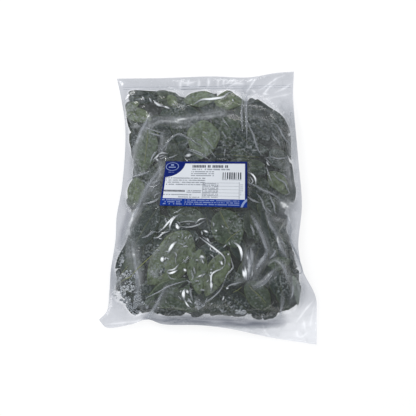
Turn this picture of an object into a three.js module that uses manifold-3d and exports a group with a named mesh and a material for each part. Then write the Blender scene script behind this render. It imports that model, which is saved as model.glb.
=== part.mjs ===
// A clear plastic bag of frozen kaffir lime leaves, heat-sealed and lying on its back.
//
// The bag is one closed pillow: a heap of leaves pressed under the film, with flat film
// margins round it, and on its upper side the leaves and film folds that stand out as relief.
// The stuck-on label is a thin sheet of its own.
// Units are millimetres. +Z is up, +Y is the sealed top end of the bag, and the origin is
// the middle of the bag's box on the surface that it lies on.

import * as THREE from 'three';
import { mergeVertices } from 'three/addons/utils/BufferGeometryUtils.js';
import Module from 'manifold-3d';

const wasm = await Module();
wasm.setup();

// ---------------------------------------------------------------- driving dimensions

const HEAP_HEIGHT = 35;
const HEAP_SHOULDER = 66;          // how far in from its edge the heap reaches full height
const HEAP_ROUNDNESS = 0.6;
const UNDERSIDE_SHOULDER = 15;
const UNDERSIDE_HEIGHT = 0.4;
const BASE = { width: 166, length: 236, x: 2, y: 4, depth: 1.2 };   // where it lies flat

// Lumps of the heap and ripples of the margin are products of two waves. A wave runs across
// the bag, along it or aslant, and has its lengths in millimetres and its start as a phase.
const LUMP_HEIGHT = 1.5;
const WIDE_LUMPS = { across: 27, along: 33, startAcross: 0.8, startAlong: -0.4 };
const SMALL_LUMP_SHARE = 0.45;
const SMALL_LUMPS = { across: 13, slantAlong: 19, along: 15, slantAcross: 41, start: 1.1 };
const RIPPLE_HEIGHT = 0.9;
const RIPPLES = { across: 11, slantAlong: 29, along: 13, slantAcross: 31 };

const FILM_THICKNESS = 1.6;        // both walls of the bag and the air between them
const FLANGE_HIGH = 9.5;           // the margin's height where it leaves the heap
const FLANGE_LOW = 1.8;            // and where it has sunk to the table
const FLANGE_DROP = 34;            // over this distance

const HEAP_EDGE_STEPS = 140;
const MERGE_DISTANCE = 1e-4;       // points nearer than this are one point
const GRID_ACROSS = 30;
const GRID_ALONG = 38;
const FLAT_MIDDLE = { left: 5, right: 25, front: 7, back: 32 };   // grid lines round the flat base

const LABEL_THICKNESS = 0.4;
const LABEL_GAP = 0.55;
const LABEL_CLEARANCE = 0.9;       // no relief comes nearer to the label than this
const LABEL_GRID_ACROSS = 12;
const LABEL_GRID_ALONG = 6;

const LEAF_LIFT = 1.7;             // how far a leaf's rim stands out of the heap
const LEAF_LIFT_SPREAD = 0.7;      // and how much that differs from leaf to leaf
const LEAF_LIFT_STEP = 2.4;        // the phase from one leaf to the next
const LEAF_CROWN = 1.0;
const LEAF_MIDRIB_DIP = 0.9;
const LEAF_TAPER = 0.85;           // below 1, a leaf is widest nearer to its base
const LEAF_FULLNESS = 0.72;        // below 1, its sides are fuller than a sine's
const LEAF_END_GAP = 0.06;         // the share of its length left off at each pointed end
const RELIEF_DEPTH = 6;            // how far relief reaches down into the heap
const LEAF_STATIONS = 5;
const LEAF_HALF_COLUMNS = 2;

const FOLD_HEIGHT = 1.3;
const FOLD_HALF_WIDTH = 1.2;
const CREASE_HEIGHT = 0.9;
const RIDGE_END_GAP = 0.1;         // a ridge's share of a half wave left off at each end
const RIDGE_END_WIDTH = 0.5;       // how wide it stays there
const RIDGE_FOOT_DEPTH = 0.1;      // how deep its two feet lie in the surface
const SEAL_HEIGHT = 0.5;
const SEAL_HALF_WIDTH = 2;
const RIDGE_STEP = 15;

const FILM_COLOUR = 0xc8cbd2;
const LABEL_COLOUR = 0xd9dce8;

// The bag's four edges as it lies, each listed from its lower or left end.
const LEFT_EDGE = [
  [-139.5, -143.0], [-129.2, -132.0], [-126.1, -108.7], [-124.2, -80.6], [-118.1, -40.0],
  [-116.8, -12.0], [-109.5, 30.0], [-105.4, 100.0], [-110.3, 137.9], [-116.3, 165.8],
];
const RIGHT_EDGE = [
  [139.5, -174.9], [139.5, -142.0], [138.2, -114.0], [121.6, -79.7], [115.8, -50.0],
  [120.3, 3.0], [116.0, 58.0], [110.8, 116.4], [109.1, 146.0], [110.3, 174.9],
];
const BOTTOM_EDGE = [
  [-139.5, -143.0], [-130.3, -152.5], [-99.2, -149.1], [-77.2, -142.4], [-57.7, -148.5],
  [-10.0, -149.8], [30.0, -154.7], [81.2, -165.8], [139.5, -174.9],
];
const TOP_EDGE = [
  [-116.3, 165.8], [-60.0, 166.3], [2.7, 168.6], [52.7, 167.5], [86.9, 173.2], [110.3, 174.9],
];

// The line round the leaves, from the sealed end's left corner clockwise.
const HEAP_EDGE = [
  [-102, 149], [-67, 151], [-32, 146], [0, 150], [20, 149], [45, 141], [70, 136], [98, 116],
  [106, 98], [108, 60], [109, 10], [104, -18], [107, -50], [115, -90], [117, -122],
  [100, -134], [78, -139], [34, -138], [-10, -137], [-55, -135], [-86, -126], [-104, -127],
  [-115, -113], [-116, -90], [-108, -58], [-101, -26], [-103, 15], [-99, 56], [-102, 104],
];

// The label's corners: bottom left, bottom right, top right, top left.
const LABEL_CORNERS = [[-61.1, 3.3], [49.9, 0.6], [49.9, 58.9], [-53.1, 59.2]];

// The leaves that show: base, tip and width of each, the lowest in the heap first.
const LEAVES = [
  [-102, 141, -66, 141, 19], [-65, 141, -31, 140, 19], [-32, 139, 12, 141, 23],
  [8, 136, 46, 135, 24], [51, 127, 84, 126, 23], [80, 117, 103, 76, 24],
  [-104, 122, -71, 112, 19], [-36, 125, -41, 90, 22], [-74, 102, -46, 95, 18],
  [19, 114, 43, 84, 25], [54, 112, 78, 86, 22], [-4, 112, -9, 62, 42],
  [-53, 90, -36, 63, 17], [-75, 102, -83, 45, 31], [30, 100, 66, 66, 26],
  [79, 74, 105, 50, 24], [53, 56, 75, 46, 18], [76, 23, 104, 38, 22],
  [-92, 40, -94, 0, 20], [54, 22, 72, 17, 16], [-64, 0, -97, -56, 31],
  [-103, -43, -112, -72, 15], [-108, -68, -80, -77, 20], [-110, -98, -88, -116, 21],
  [-48, -4, -4, -12, 22], [-23, -30, -76, -97, 38], [14, -3, 38, -50, 42],
  [52, -2, 64, -42, 22], [70, 0, 82, -53, 19], [84, -18, 101, -53, 22],
  [76, -73, 106, -66, 17], [69, -42, 52, -96, 33], [97, -77, 108, -124, 24],
  [-23, -93, -82, -124, 28], [-10, -52, -11, -110, 26], [26, -54, -3, -112, 28],
  [-55, -112, -12, -130, 24], [-6, -118, 21, -128, 21], [24, -106, 53, -131, 27],
  [49, -94, 79, -132, 29],
];

// The film's sharp folds, each a run of points along its crest.
const FILM_FOLDS = [
  [[47, 139], [44, 99]],
  [[49, 113], [58, 91], [70, 66]],
  [[83, 109], [94, 96], [105, 82]],
  [[73, 64], [104, 65]],
  [[50, 33], [72, 22], [92, 12]],
  [[62, 19], [73, 6], [84, -9]],
  [[74, 54], [86, 31], [95, 20]],
  [[-76, 113], [-91, 83]],
  [[-76, 29], [-86, 10], [-98, -15]],
  [[-37, -8], [-52, -24], [-64, -36]],
  [[-12, -36], [5, -50], [20, -66], [22, -82]],
  [[30, -42], [40, -53], [42, -72]],
  [[29, -76], [17, -102], [-6, -124]],
  [[-81, -115], [-55, -102], [-24, -91]],
  [[-55, -103], [-71, -132]],
  [[57, -9], [70, -37], [80, -58]],
  [[78, -18], [87, -48], [97, -62]],
  [[96, -82], [97, -112]],
];

// Creases of the empty film: the sealed end, then the lower left and lower right corners.
const MARGIN_CREASES = [
  [[51, 150], [68, 142], [82, 141], [107, 150]],
  [[-106, -126], [-92, -139]],
  [[-72, -130], [-79, -140]],
  [[-132, -148], [-112, -146], [-88, -143]],
  [[-55, -143], [-12, -144], [36, -148]],
  [[135, -120], [112, -147]],
  [[134, -128], [128, -156]],
  [[72, -150], [84, -163]],
];
const SEAL_LINE = [[-108, 153], [0, 154], [106, 156]];

// ---------------------------------------------------------------- outline and heap form

function edgeCurve(points) {
  const corners = points.map(([x, y]) => new THREE.Vector3(x, y, 0));
  return new THREE.CatmullRomCurve3(corners, false, 'centripetal');
}

const leftEdge = edgeCurve(LEFT_EDGE);
const rightEdge = edgeCurve(RIGHT_EDGE);
const bottomEdge = edgeCurve(BOTTOM_EDGE);
const topEdge = edgeCurve(TOP_EDGE);

// A Coons patch: the four edges carry the grid, so it fits the bag's crooked outline.
function outlinePoint(u, v) {
  const alongEdges = new THREE.Vector3()
    .addScaledVector(bottomEdge.getPointAt(u), 1 - v)
    .addScaledVector(topEdge.getPointAt(u), v)
    .addScaledVector(leftEdge.getPointAt(v), 1 - u)
    .addScaledVector(rightEdge.getPointAt(v), u);
  const corners = new THREE.Vector3()
    .addScaledVector(bottomEdge.getPointAt(0), (1 - u) * (1 - v))
    .addScaledVector(bottomEdge.getPointAt(1), u * (1 - v))
    .addScaledVector(topEdge.getPointAt(0), (1 - u) * v)
    .addScaledVector(topEdge.getPointAt(1), u * v);
  return alongEdges.sub(corners);
}

const heapCurve = new THREE.CatmullRomCurve3(
  HEAP_EDGE.map(([x, y]) => new THREE.Vector3(x, y, 0)), true, 'centripetal');
const heapRing = heapCurve.getSpacedPoints(HEAP_EDGE_STEPS);

// The distance to the heap's edge, positive inside it.
function insideHeap(x, y) {
  let nearest = Infinity;
  let inside = false;
  for (let i = 0; i < heapRing.length - 1; i += 1) {
    const a = heapRing[i];
    const b = heapRing[i + 1];
    const along = ((x - a.x) * (b.x - a.x) + (y - a.y) * (b.y - a.y)) / a.distanceToSquared(b);
    const t = THREE.MathUtils.clamp(along, 0, 1);
    nearest = Math.min(nearest, Math.hypot(x - a.x - t * (b.x - a.x), y - a.y - t * (b.y - a.y)));
    const crosses = (a.y > y) !== (b.y > y);
    if (crosses && x < a.x + ((y - a.y) / (b.y - a.y)) * (b.x - a.x)) {
      inside = !inside;
    }
  }
  return inside ? nearest : -nearest;
}

function flangeHeight(x, y, inside) {
  const sunk = THREE.MathUtils.smoothstep(-inside, 0, FLANGE_DROP);
  const across = Math.sin(x / RIPPLES.across + y / RIPPLES.slantAlong);
  const along = Math.sin(y / RIPPLES.along - x / RIPPLES.slantAcross);
  const ripple = RIPPLE_HEIGHT * across * along;
  return THREE.MathUtils.lerp(FLANGE_HIGH, FLANGE_LOW, sunk) + ripple * sunk * (1 - sunk) * 4;
}

function lumps(x, y) {
  const wide = Math.sin(x / WIDE_LUMPS.across + WIDE_LUMPS.startAcross)
    * Math.cos(y / WIDE_LUMPS.along + WIDE_LUMPS.startAlong);
  const small = Math.sin(x / SMALL_LUMPS.across - y / SMALL_LUMPS.slantAlong)
    * Math.sin(y / SMALL_LUMPS.along + x / SMALL_LUMPS.slantAcross + SMALL_LUMPS.start);
  return LUMP_HEIGHT * (wide + SMALL_LUMP_SHARE * small);
}

function topHeight(x, y) {
  const inside = insideHeap(x, y);
  const margin = flangeHeight(x, y, inside) + FILM_THICKNESS / 2;
  if (inside <= 0) {
    return margin;
  }
  const t = Math.min(inside / HEAP_SHOULDER, 1);
  const rise = Math.pow(1 - (1 - t) * (1 - t), HEAP_ROUNDNESS);
  return THREE.MathUtils.lerp(margin, HEAP_HEIGHT + lumps(x, y), rise);
}

function undersideHeight(x, y) {
  const inside = insideHeap(x, y);
  const margin = flangeHeight(x, y, inside) - FILM_THICKNESS / 2;
  if (inside <= 0) {
    return margin;
  }
  const t = Math.min(inside / UNDERSIDE_SHOULDER, 1);
  return UNDERSIDE_HEIGHT + (margin - UNDERSIDE_HEIGHT) * (1 - t) * (1 - t);
}

// The buried underside of a relief, which stays between the pillow's two faces.
function reliefRoot(x, y) {
  const top = topHeight(x, y);
  return Math.max(top - RELIEF_DEPTH, (top + undersideHeight(x, y)) / 2);
}

// ---------------------------------------------------------------- meshes and solids

function closedGeometry(points, triangles) {
  const geometry = new THREE.BufferGeometry();
  const coordinates = points.flatMap((p) => [p.x, p.y, p.z]);
  geometry.setAttribute('position', new THREE.Float32BufferAttribute(coordinates, 3));
  geometry.setIndex(triangles);
  return geometry;
}

// The grid points round a block of cells, counter-clockwise seen from above.
function gridLoop(left, right, front, back) {
  const loop = [];
  for (let i = left; i < right; i += 1) loop.push([i, front]);
  for (let j = front; j < back; j += 1) loop.push([right, j]);
  for (let i = right; i > left; i -= 1) loop.push([i, back]);
  for (let j = back; j > front; j -= 1) loop.push([left, j]);
  return loop;
}

// Two stacked grids, top and bottom, joined round their rim by a wall. Where the lower one is
// flat between four grid lines, that middle is one face cut only from the points round it.
function doubleGrid(columns, rows, upper, lower, flat = null) {
  const points = [];
  for (const surface of [upper, lower]) {
    for (let j = 0; j <= rows; j += 1) {
      for (let i = 0; i <= columns; i += 1) {
        points.push(surface(i / columns, j / rows));
      }
    }
  }
  const layer = (columns + 1) * (rows + 1);
  const at = (i, j) => j * (columns + 1) + i;
  const triangles = [];
  for (let j = 0; j < rows; j += 1) {
    for (let i = 0; i < columns; i += 1) {
      const [a, b, c, d] = [at(i, j), at(i + 1, j), at(i + 1, j + 1), at(i, j + 1)];
      triangles.push(a, b, c, a, c, d);
      const inFlat = flat && i >= flat.left && i < flat.right && j >= flat.front && j < flat.back;
      if (!inFlat) {
        triangles.push(layer + a, layer + c, layer + b, layer + a, layer + d, layer + c);
      }
    }
  }
  if (flat) {
    const loop = gridLoop(flat.left, flat.right, flat.front, flat.back)
      .map(([i, j]) => layer + at(i, j));
    const faces = THREE.ShapeUtils.triangulateShape(loop.map((k) => points[k]), []);
    faces.forEach(([a, b, c]) => triangles.push(loop[a], loop[c], loop[b]));
  }
  const rim = gridLoop(0, columns, 0, rows).map(([i, j]) => at(i, j));
  rim.forEach((a, k) => {
    const b = rim[(k + 1) % rim.length];
    triangles.push(a, layer + a, layer + b, a, layer + b, b);
  });
  return closedGeometry(points, triangles);
}

function solidOf(geometry) {
  const merged = mergeVertices(geometry, MERGE_DISTANCE);
  return new wasm.Manifold(new wasm.Mesh({
    numProp: 3,
    vertProperties: new Float32Array(merged.attributes.position.array),
    triVerts: new Uint32Array(merged.index.array),
  }));
}

function geometryOf(solid) {
  const mesh = solid.getMesh();
  const geometry = new THREE.BufferGeometry();
  geometry.setAttribute('position', new THREE.BufferAttribute(mesh.vertProperties, 3));
  geometry.setIndex(new THREE.BufferAttribute(mesh.triVerts, 1));
  return geometry;
}

function bagCore() {
  return doubleGrid(GRID_ACROSS, GRID_ALONG, (u, v) => {
    const p = outlinePoint(u, v);
    return new THREE.Vector3(p.x, p.y, topHeight(p.x, p.y));
  }, (u, v) => {
    const p = outlinePoint(u, v);
    return new THREE.Vector3(p.x, p.y, undersideHeight(p.x, p.y));
  }, FLAT_MIDDLE);
}

// A leaf pressed up under the film: an oval dome with a dip along its midrib.
function leafRelief([baseX, baseY, tipX, tipY, width], order) {
  const length = Math.hypot(tipX - baseX, tipY - baseY);
  const along = new THREE.Vector2(tipX - baseX, tipY - baseY).divideScalar(length);
  const across = new THREE.Vector2(-along.y, along.x);
  const lift = LEAF_LIFT + LEAF_LIFT_SPREAD * Math.sin(order * LEAF_LIFT_STEP);
  const place = (s, side) => ({
    x: baseX + along.x * s * length + across.x * side,
    y: baseY + along.y * s * length + across.y * side,
  });
  const halfWidthAt = (s) => {
    const oval = Math.sin(Math.PI * Math.pow(s, LEAF_TAPER));
    return (width / 2) * Math.pow(oval, LEAF_FULLNESS);
  };
  const station = (v) => {
    const turn = Math.PI * (LEAF_END_GAP + (1 - 2 * LEAF_END_GAP) * v);
    return 0.5 - 0.5 * Math.cos(turn);
  };
  const columns = 2 * LEAF_HALF_COLUMNS;
  return doubleGrid(columns, LEAF_STATIONS, (u, v) => {
    const s = station(v);
    const side = 1 - 2 * u;
    const crown = LEAF_CROWN * (1 - side * side);
    const dip = side === 0 ? LEAF_MIDRIB_DIP : 0;
    const { x, y } = place(s, side * halfWidthAt(s));
    return new THREE.Vector3(x, y, topHeight(x, y) + lift + crown - dip);
  }, (u, v) => {
    const s = station(v);
    const { x, y } = place(s, (1 - 2 * u) * halfWidthAt(s));
    return new THREE.Vector3(x, y, reliefRoot(x, y));
  });
}

// A fold, crease or seal of the film: a low ridge that fades into the surface at both ends.
function ridgeRelief(points, height, halfWidth) {
  const crest = new THREE.CatmullRomCurve3(
    points.map(([x, y]) => new THREE.Vector3(x, y, 0)), false, 'centripetal');
  const steps = Math.max(3, Math.round(crest.getLength() / RIDGE_STEP));
  const section = (u, v) => {
    const p = crest.getPointAt(v);
    const t = crest.getTangentAt(v);
    const fade = Math.sin(Math.PI * (RIDGE_END_GAP + (1 - 2 * RIDGE_END_GAP) * v));
    const width = 2 * halfWidth * (RIDGE_END_WIDTH + (1 - RIDGE_END_WIDTH) * fade);
    const side = (0.5 - u) * width;
    const x = p.x - t.y * side;
    const y = p.y + t.x * side;
    return { x, y, fade };
  };
  return doubleGrid(2, steps, (u, v) => {
    const { x, y, fade } = section(u, v);
    const lift = u === 0.5 ? height * fade : -RIDGE_FOOT_DEPTH;
    return new THREE.Vector3(x, y, topHeight(x, y) + lift);
  }, (u, v) => {
    const { x, y } = section(u, v);
    return new THREE.Vector3(x, y, reliefRoot(x, y));
  });
}

// The pressed-flat patch of the underside that the bag rests on.
function restingPatch() {
  const patch = new THREE.BoxGeometry(BASE.width, BASE.length, BASE.depth);
  patch.translate(BASE.x, BASE.y, BASE.depth / 2);
  patch.deleteAttribute('normal');
  patch.deleteAttribute('uv');
  return patch;
}

function labelPoint(u, v, margin) {
  const [bottomLeft, bottomRight, topRight, topLeft] = LABEL_CORNERS;
  const lerp = THREE.MathUtils.lerp;
  const x = lerp(lerp(bottomLeft[0], bottomRight[0], u), lerp(topLeft[0], topRight[0], u), v);
  const y = lerp(lerp(bottomLeft[1], bottomRight[1], u), lerp(topLeft[1], topRight[1], u), v);
  return { x: x + (2 * u - 1) * margin, y: y + (2 * v - 1) * margin };
}

function labelSheet(margin, below, above) {
  return doubleGrid(LABEL_GRID_ACROSS, LABEL_GRID_ALONG, (u, v) => {
    const { x, y } = labelPoint(u, v, margin);
    return new THREE.Vector3(x, y, topHeight(x, y) + above);
  }, (u, v) => {
    const { x, y } = labelPoint(u, v, margin);
    return new THREE.Vector3(x, y, topHeight(x, y) + below);
  });
}

// The relief is joined first and cleared round the label, then fused on the pillow with its base.
function bagSolid() {
  const folds = FILM_FOLDS.map((points) => ridgeRelief(points, FOLD_HEIGHT, FOLD_HALF_WIDTH));
  const creases = MARGIN_CREASES.map((points) => ridgeRelief(points, CREASE_HEIGHT, FOLD_HALF_WIDTH));
  const seal = ridgeRelief(SEAL_LINE, SEAL_HEIGHT, SEAL_HALF_WIDTH);
  const relief = [...LEAVES.map(leafRelief), ...folds, ...creases, seal]
    .map(solidOf)
    .reduce((joined, piece) => joined.add(piece));
  const aroundLabel = solidOf(labelSheet(LABEL_CLEARANCE, -2 * RELIEF_DEPTH, 2 * RELIEF_DEPTH));
  return solidOf(bagCore()).add(solidOf(restingPatch())).add(relief.subtract(aroundLabel));
}

// ---------------------------------------------------------------- the object

const filmMaterial = new THREE.MeshStandardMaterial({
  color: FILM_COLOUR, roughness: 0.2, metalness: 0, transparent: true, opacity: 0.55,
});
const labelMaterial = new THREE.MeshStandardMaterial({
  color: LABEL_COLOUR, roughness: 0.35, metalness: 0,
});

function part(name, geometry, material) {
  const mesh = new THREE.Mesh(geometry, material);
  mesh.name = name;
  return mesh;
}

const group = new THREE.Group();
group.add(part('bag', geometryOf(bagSolid()), filmMaterial));
group.add(part('label', labelSheet(0, LABEL_GAP, LABEL_GAP + LABEL_THICKNESS), labelMaterial));

export default group;
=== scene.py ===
# %% [markdown]
# # A bag of frozen lime leaves
#
# The object is a clear, heat-sealed film bag that lies on its back, packed with dark frozen
# leaves, with a printed label stuck on its upper side. What the eye meets is not the bag's
# form, which is a plain pillow, but three layers: leaves that overlap like shingles, a film
# that clings to them in places and stands off in others, and the light on the film's creases.
#
# So the scene is built from the inside out. A core fills the heap, loose leaves are scattered
# over it, the leaves that show are laid one on another, and the film is then let down
# on them as a membrane. Everything is worked out in millimetres and put in the mesh in metres.

import bpy
import numpy as np
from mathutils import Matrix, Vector


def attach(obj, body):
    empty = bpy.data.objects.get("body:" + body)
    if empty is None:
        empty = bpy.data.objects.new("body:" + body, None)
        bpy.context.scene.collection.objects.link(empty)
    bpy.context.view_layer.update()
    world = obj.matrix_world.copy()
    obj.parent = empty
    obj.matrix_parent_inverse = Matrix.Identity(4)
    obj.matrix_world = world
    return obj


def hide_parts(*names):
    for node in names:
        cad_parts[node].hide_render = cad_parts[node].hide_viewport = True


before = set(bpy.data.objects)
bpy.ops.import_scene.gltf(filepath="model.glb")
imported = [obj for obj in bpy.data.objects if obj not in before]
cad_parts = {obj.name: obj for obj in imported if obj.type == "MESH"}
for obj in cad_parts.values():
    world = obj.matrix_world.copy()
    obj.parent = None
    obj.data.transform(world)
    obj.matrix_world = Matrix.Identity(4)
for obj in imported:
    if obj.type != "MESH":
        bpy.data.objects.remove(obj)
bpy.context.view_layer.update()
MM = 0.001

# %% [markdown]
# ## The bag's outline and its heap
#
# A bag that lies on a table has four crooked edges. Four given curves carry them, and a
# Coons patch blends the curves into a grid, so that every point of the bag has a place (u, v).
# The same curves, heights and label corners made the solid model, so the two agree. The leaves
# have a ragged outline of their own, because the film narrows past them in some places.

# %% Points of the edges, in millimetres
LEFT_EDGE = [
    (-139.5, -143.0), (-129.2, -132.0), (-126.1, -108.7), (-124.2, -80.6), (-118.1, -40.0),
    (-116.8, -12.0), (-109.5, 30.0), (-105.4, 100.0), (-110.3, 137.9), (-116.3, 165.8),
]
RIGHT_EDGE = [
    (139.5, -174.9), (139.5, -142.0), (138.2, -114.0), (121.6, -79.7), (115.8, -50.0),
    (120.3, 3.0), (116.0, 58.0), (110.8, 116.4), (109.1, 146.0), (110.3, 174.9),
]
BOTTOM_EDGE = [
    (-139.5, -143.0), (-130.3, -152.5), (-99.2, -149.1), (-77.2, -142.4), (-57.7, -148.5),
    (-10.0, -149.8), (30.0, -154.7), (81.2, -165.8), (139.5, -174.9),
]
TOP_EDGE = [
    (-116.3, 165.8), (-60.0, 166.3), (2.7, 168.6), (52.7, 167.5), (86.9, 173.2), (110.3, 174.9),
]
HEAP_EDGE = [
    (-102, 149), (-67, 151), (-32, 146), (0, 150), (20, 149), (45, 141), (70, 136), (98, 116),
    (106, 98), (108, 60), (109, 10), (104, -18), (107, -50), (115, -90), (117, -122),
    (100, -134), (78, -139), (34, -138), (-10, -137), (-55, -135), (-86, -126), (-104, -127),
    (-115, -113), (-116, -90), (-108, -58), (-101, -26), (-103, 15), (-99, 56), (-102, 104),
]
LEAF_EDGE = [
    (-101, 150), (-68, 150), (-64, 151), (-50, 151), (-41, 149), (-37, 144), (-31, 140), (-28, 143),
    (-22, 147), (-10, 150), (0, 150), (6, 146), (12, 148), (20, 151), (30, 150), (35, 146),
    (44, 141), (49, 136), (56, 143), (70, 136), (78, 130), (90, 123), (98, 115), (103, 105),
    (106, 95), (107, 82), (107, 66), (109, 50), (111, 34), (113, 24), (112, 12), (109, 7),
    (100, 8), (94, 5), (93, -1), (98, -6), (102, -10), (101, -30), (105, -36), (108, -46),
    (111, -58), (112, -68), (117, -80), (117, -92), (120, -102), (118, -112), (116, -124),
    (110, -131), (103, -135), (97, -140), (88, -141), (79, -142), (70, -144), (60, -142),
    (48, -140), (30, -139), (16, -137), (0, -139), (-20, -140), (-40, -138), (-55, -139),
    (-66, -137), (-72, -133), (-80, -134), (-89, -137), (-97, -136), (-103, -129), (-107, -123),
    (-119, -117), (-119, -104), (-116, -94), (-119, -78), (-116, -64), (-111, -54), (-104, -42),
    (-102, -31), (-98, -20), (-94, -10), (-88, -2), (-90, 4), (-100, 1), (-104, 6), (-104, 20),
    (-101, 30), (-96, 37), (-91, 41), (-96, 46), (-94, 57), (-98, 67), (-99, 79), (-101, 84),
    (-101, 99), (-104, 112), (-105, 124), (-106, 132), (-102, 141),
]
HEAP_RING_POINTS = 141
LABEL_CORNERS = np.array([(-61.1, 3.3), (49.9, 0.6), (49.9, 58.9), (-53.1, 59.2)])
print("the leaves' outline has", len(LEAF_EDGE), "points, the heap's", len(HEAP_EDGE))


# %% Smooth curves through them
def smooth_curve(points, closed=False, steps=24):
    """A centripetal Catmull-Rom curve through the points, as a dense run of points."""
    p = np.array(points, float)
    before = p[-1:] if closed else 2 * p[:1] - p[1:2]
    after = p[:2] if closed else 2 * p[-1:] - p[-2:-1]
    p = np.vstack([before, p, after])
    spans = []
    for a, b, c, d in zip(p, p[1:], p[2:], p[3:]):
        knots = np.cumsum([0.0] + [np.linalg.norm(e) ** 0.5 for e in (b - a, c - b, d - c)])
        t = np.linspace(knots[1], knots[2], steps, endpoint=False)[:, None]

        def between(low, high, start, end):
            """A blend of two points by their knots."""
            return ((knots[end] - t) * low + (t - knots[start]) * high) / (knots[end] - knots[start])

        ab, bc, cd = between(a, b, 0, 1), between(b, c, 1, 2), between(c, d, 2, 3)
        spans.append(between(between(ab, bc, 0, 2), between(bc, cd, 1, 3), 1, 2))
    spans.append(p[1:2] if closed else p[-2:-1])
    return np.vstack(spans)


def along(curve, share):
    """The points at these shares of the curve's length."""
    steps = np.linalg.norm(np.diff(curve, axis=0), axis=1)
    length = np.concatenate([[0.0], np.cumsum(steps)])
    where = np.asarray(share) * length[-1]
    return np.stack([np.interp(where, length, curve[:, k]) for k in range(curve.shape[1])], -1)


left_edge, right_edge = smooth_curve(LEFT_EDGE), smooth_curve(RIGHT_EDGE)
bottom_edge, top_edge = smooth_curve(BOTTOM_EDGE), smooth_curve(TOP_EDGE)
heap_ring = along(smooth_curve(HEAP_EDGE, closed=True), np.linspace(0, 1, HEAP_RING_POINTS))
leaf_ring = smooth_curve(LEAF_EDGE, closed=True, steps=4)
print("leaf outline:", len(leaf_ring), "points")


# %% The bag's plan, blended from its edges
def bag_plan(u, v):
    """The bag's plan at (u, v), each from 0 to 1, blended from its four edges."""
    bottom, top = along(bottom_edge, u), along(top_edge, u)
    left, right = along(left_edge, v), along(right_edge, v)
    u, v = u[..., None], v[..., None]
    corners = (1 - u) * (1 - v) * bottom_edge[0] + u * (1 - v) * bottom_edge[-1]
    corners = corners + (1 - u) * v * top_edge[0] + u * v * top_edge[-1]
    return (1 - v) * bottom + v * top + (1 - u) * left + u * right - corners


print("middle of the plan:", bag_plan(np.array([0.5]), np.array([0.5]))[0].round(1), "mm")

# %% [markdown]
# ## Height maps
#
# Leaves and film both have to know how high things are at any (x, y). A raster of one
# millimetre cells is enough for that: it is quick to fill, to smooth and to look up, and a
# picture of the bag has pixels a little larger than its cells.

# %% Rasters, and how to read them
xs = np.arange(-150.0, 151.0)
ys = np.arange(-185.0, 186.0)
X, Y = np.meshgrid(xs, ys)
print("a raster has", X.size, "cells")


def ease(value, start, end):
    """0 before start, 1 after end, and a smooth step between."""
    t = np.clip((value - start) / (end - start), 0, 1)
    return t * t * (3 - 2 * t)


def sample(raster, x, y):
    """The raster's value at (x, y), blended between its four nearest cells."""
    c = np.clip(np.asarray(x) - xs[0], 0, len(xs) - 1.001)
    r = np.clip(np.asarray(y) - ys[0], 0, len(ys) - 1.001)
    i, j = c.astype(int), r.astype(int)
    c, r = c - i, r - j
    near = (1 - c) * raster[j, i] + c * raster[j, i + 1]
    far = (1 - c) * raster[j + 1, i] + c * raster[j + 1, i + 1]
    return (1 - r) * near + r * far


# %% Distances to a path
def to_segment(a, b, x, y):
    """The distance from each (x, y) to the line from a to b, and how far along it that is."""
    dx, dy = b[0] - a[0], b[1] - a[1]
    t = np.clip(((x - a[0]) * dx + (y - a[1]) * dy) / (dx * dx + dy * dy + 1e-12), 0, 1)
    return np.hypot(x - a[0] - t * dx, y - a[1] - t * dy), t


def is_within(path, x, y):
    """True where (x, y) lies inside a closed run of points."""
    inside = np.zeros(np.shape(x), bool)
    for (ax, ay), (bx, by) in zip(path, path[1:]):
        if ay != by:
            inside ^= ((ay > y) != (by > y)) & (x < ax + (y - ay) / (by - ay) * (bx - ax))
    return inside


def depth_within(path):
    """A raster of the distance to a closed path, positive inside it."""
    distance = np.full(X.shape, np.inf)
    for a, b in zip(path, path[1:]):
        distance = np.minimum(distance, to_segment(a, b, X, Y)[0])
    return np.where(is_within(path, X, Y), distance, -distance)


inside = depth_within(heap_ring)
leaf_room = depth_within(leaf_ring)
print("the heap's middle is", round(inside.max(), 1), "mm from its edge")

# %% The pillow's form
HEAP_HEIGHT = 35.0
HEAP_SHOULDER = 66.0
HEAP_ROUNDNESS = 0.6
UNDERSIDE_SHOULDER = 15.0
UNDERSIDE_HEIGHT = 0.4
LUMP_HEIGHT = 1.5
WALL_GAP = 1.6
FLANGE_HIGH, FLANGE_LOW, FLANGE_DROP, FLANGE_RIPPLE = 9.5, 1.8, 34.0, 0.9

# The ripple and the lumps are products of waves, with the solid model's own lengths.
sunk = ease(-inside, 0, FLANGE_DROP)
ripple = FLANGE_RIPPLE * np.sin(X / 11 + Y / 29) * np.sin(Y / 13 - X / 31)
flange = FLANGE_HIGH + (FLANGE_LOW - FLANGE_HIGH) * sunk + 4 * ripple * sunk * (1 - sunk)
lumps = np.sin(X / 27 + 0.8) * np.cos(Y / 33 - 0.4)
lumps = LUMP_HEIGHT * (lumps + 0.45 * np.sin(X / 13 - Y / 19) * np.sin(Y / 15 + X / 41 + 1.1))
shoulder = np.clip(inside / HEAP_SHOULDER, 0, 1)
rise = (1 - (1 - shoulder) ** 2) ** HEAP_ROUNDNESS
pillow_top = flange + WALL_GAP / 2 + rise * (HEAP_HEIGHT + lumps - flange - WALL_GAP / 2)
tuck = np.clip(inside / UNDERSIDE_SHOULDER, 0, 1)
pillow_bottom = UNDERSIDE_HEIGHT + (flange - WALL_GAP / 2 - UNDERSIDE_HEIGHT) * (1 - tuck) ** 2
print("pillow heights:", round(pillow_bottom.min(), 1), "to", round(pillow_top.max(), 1), "mm")


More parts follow.
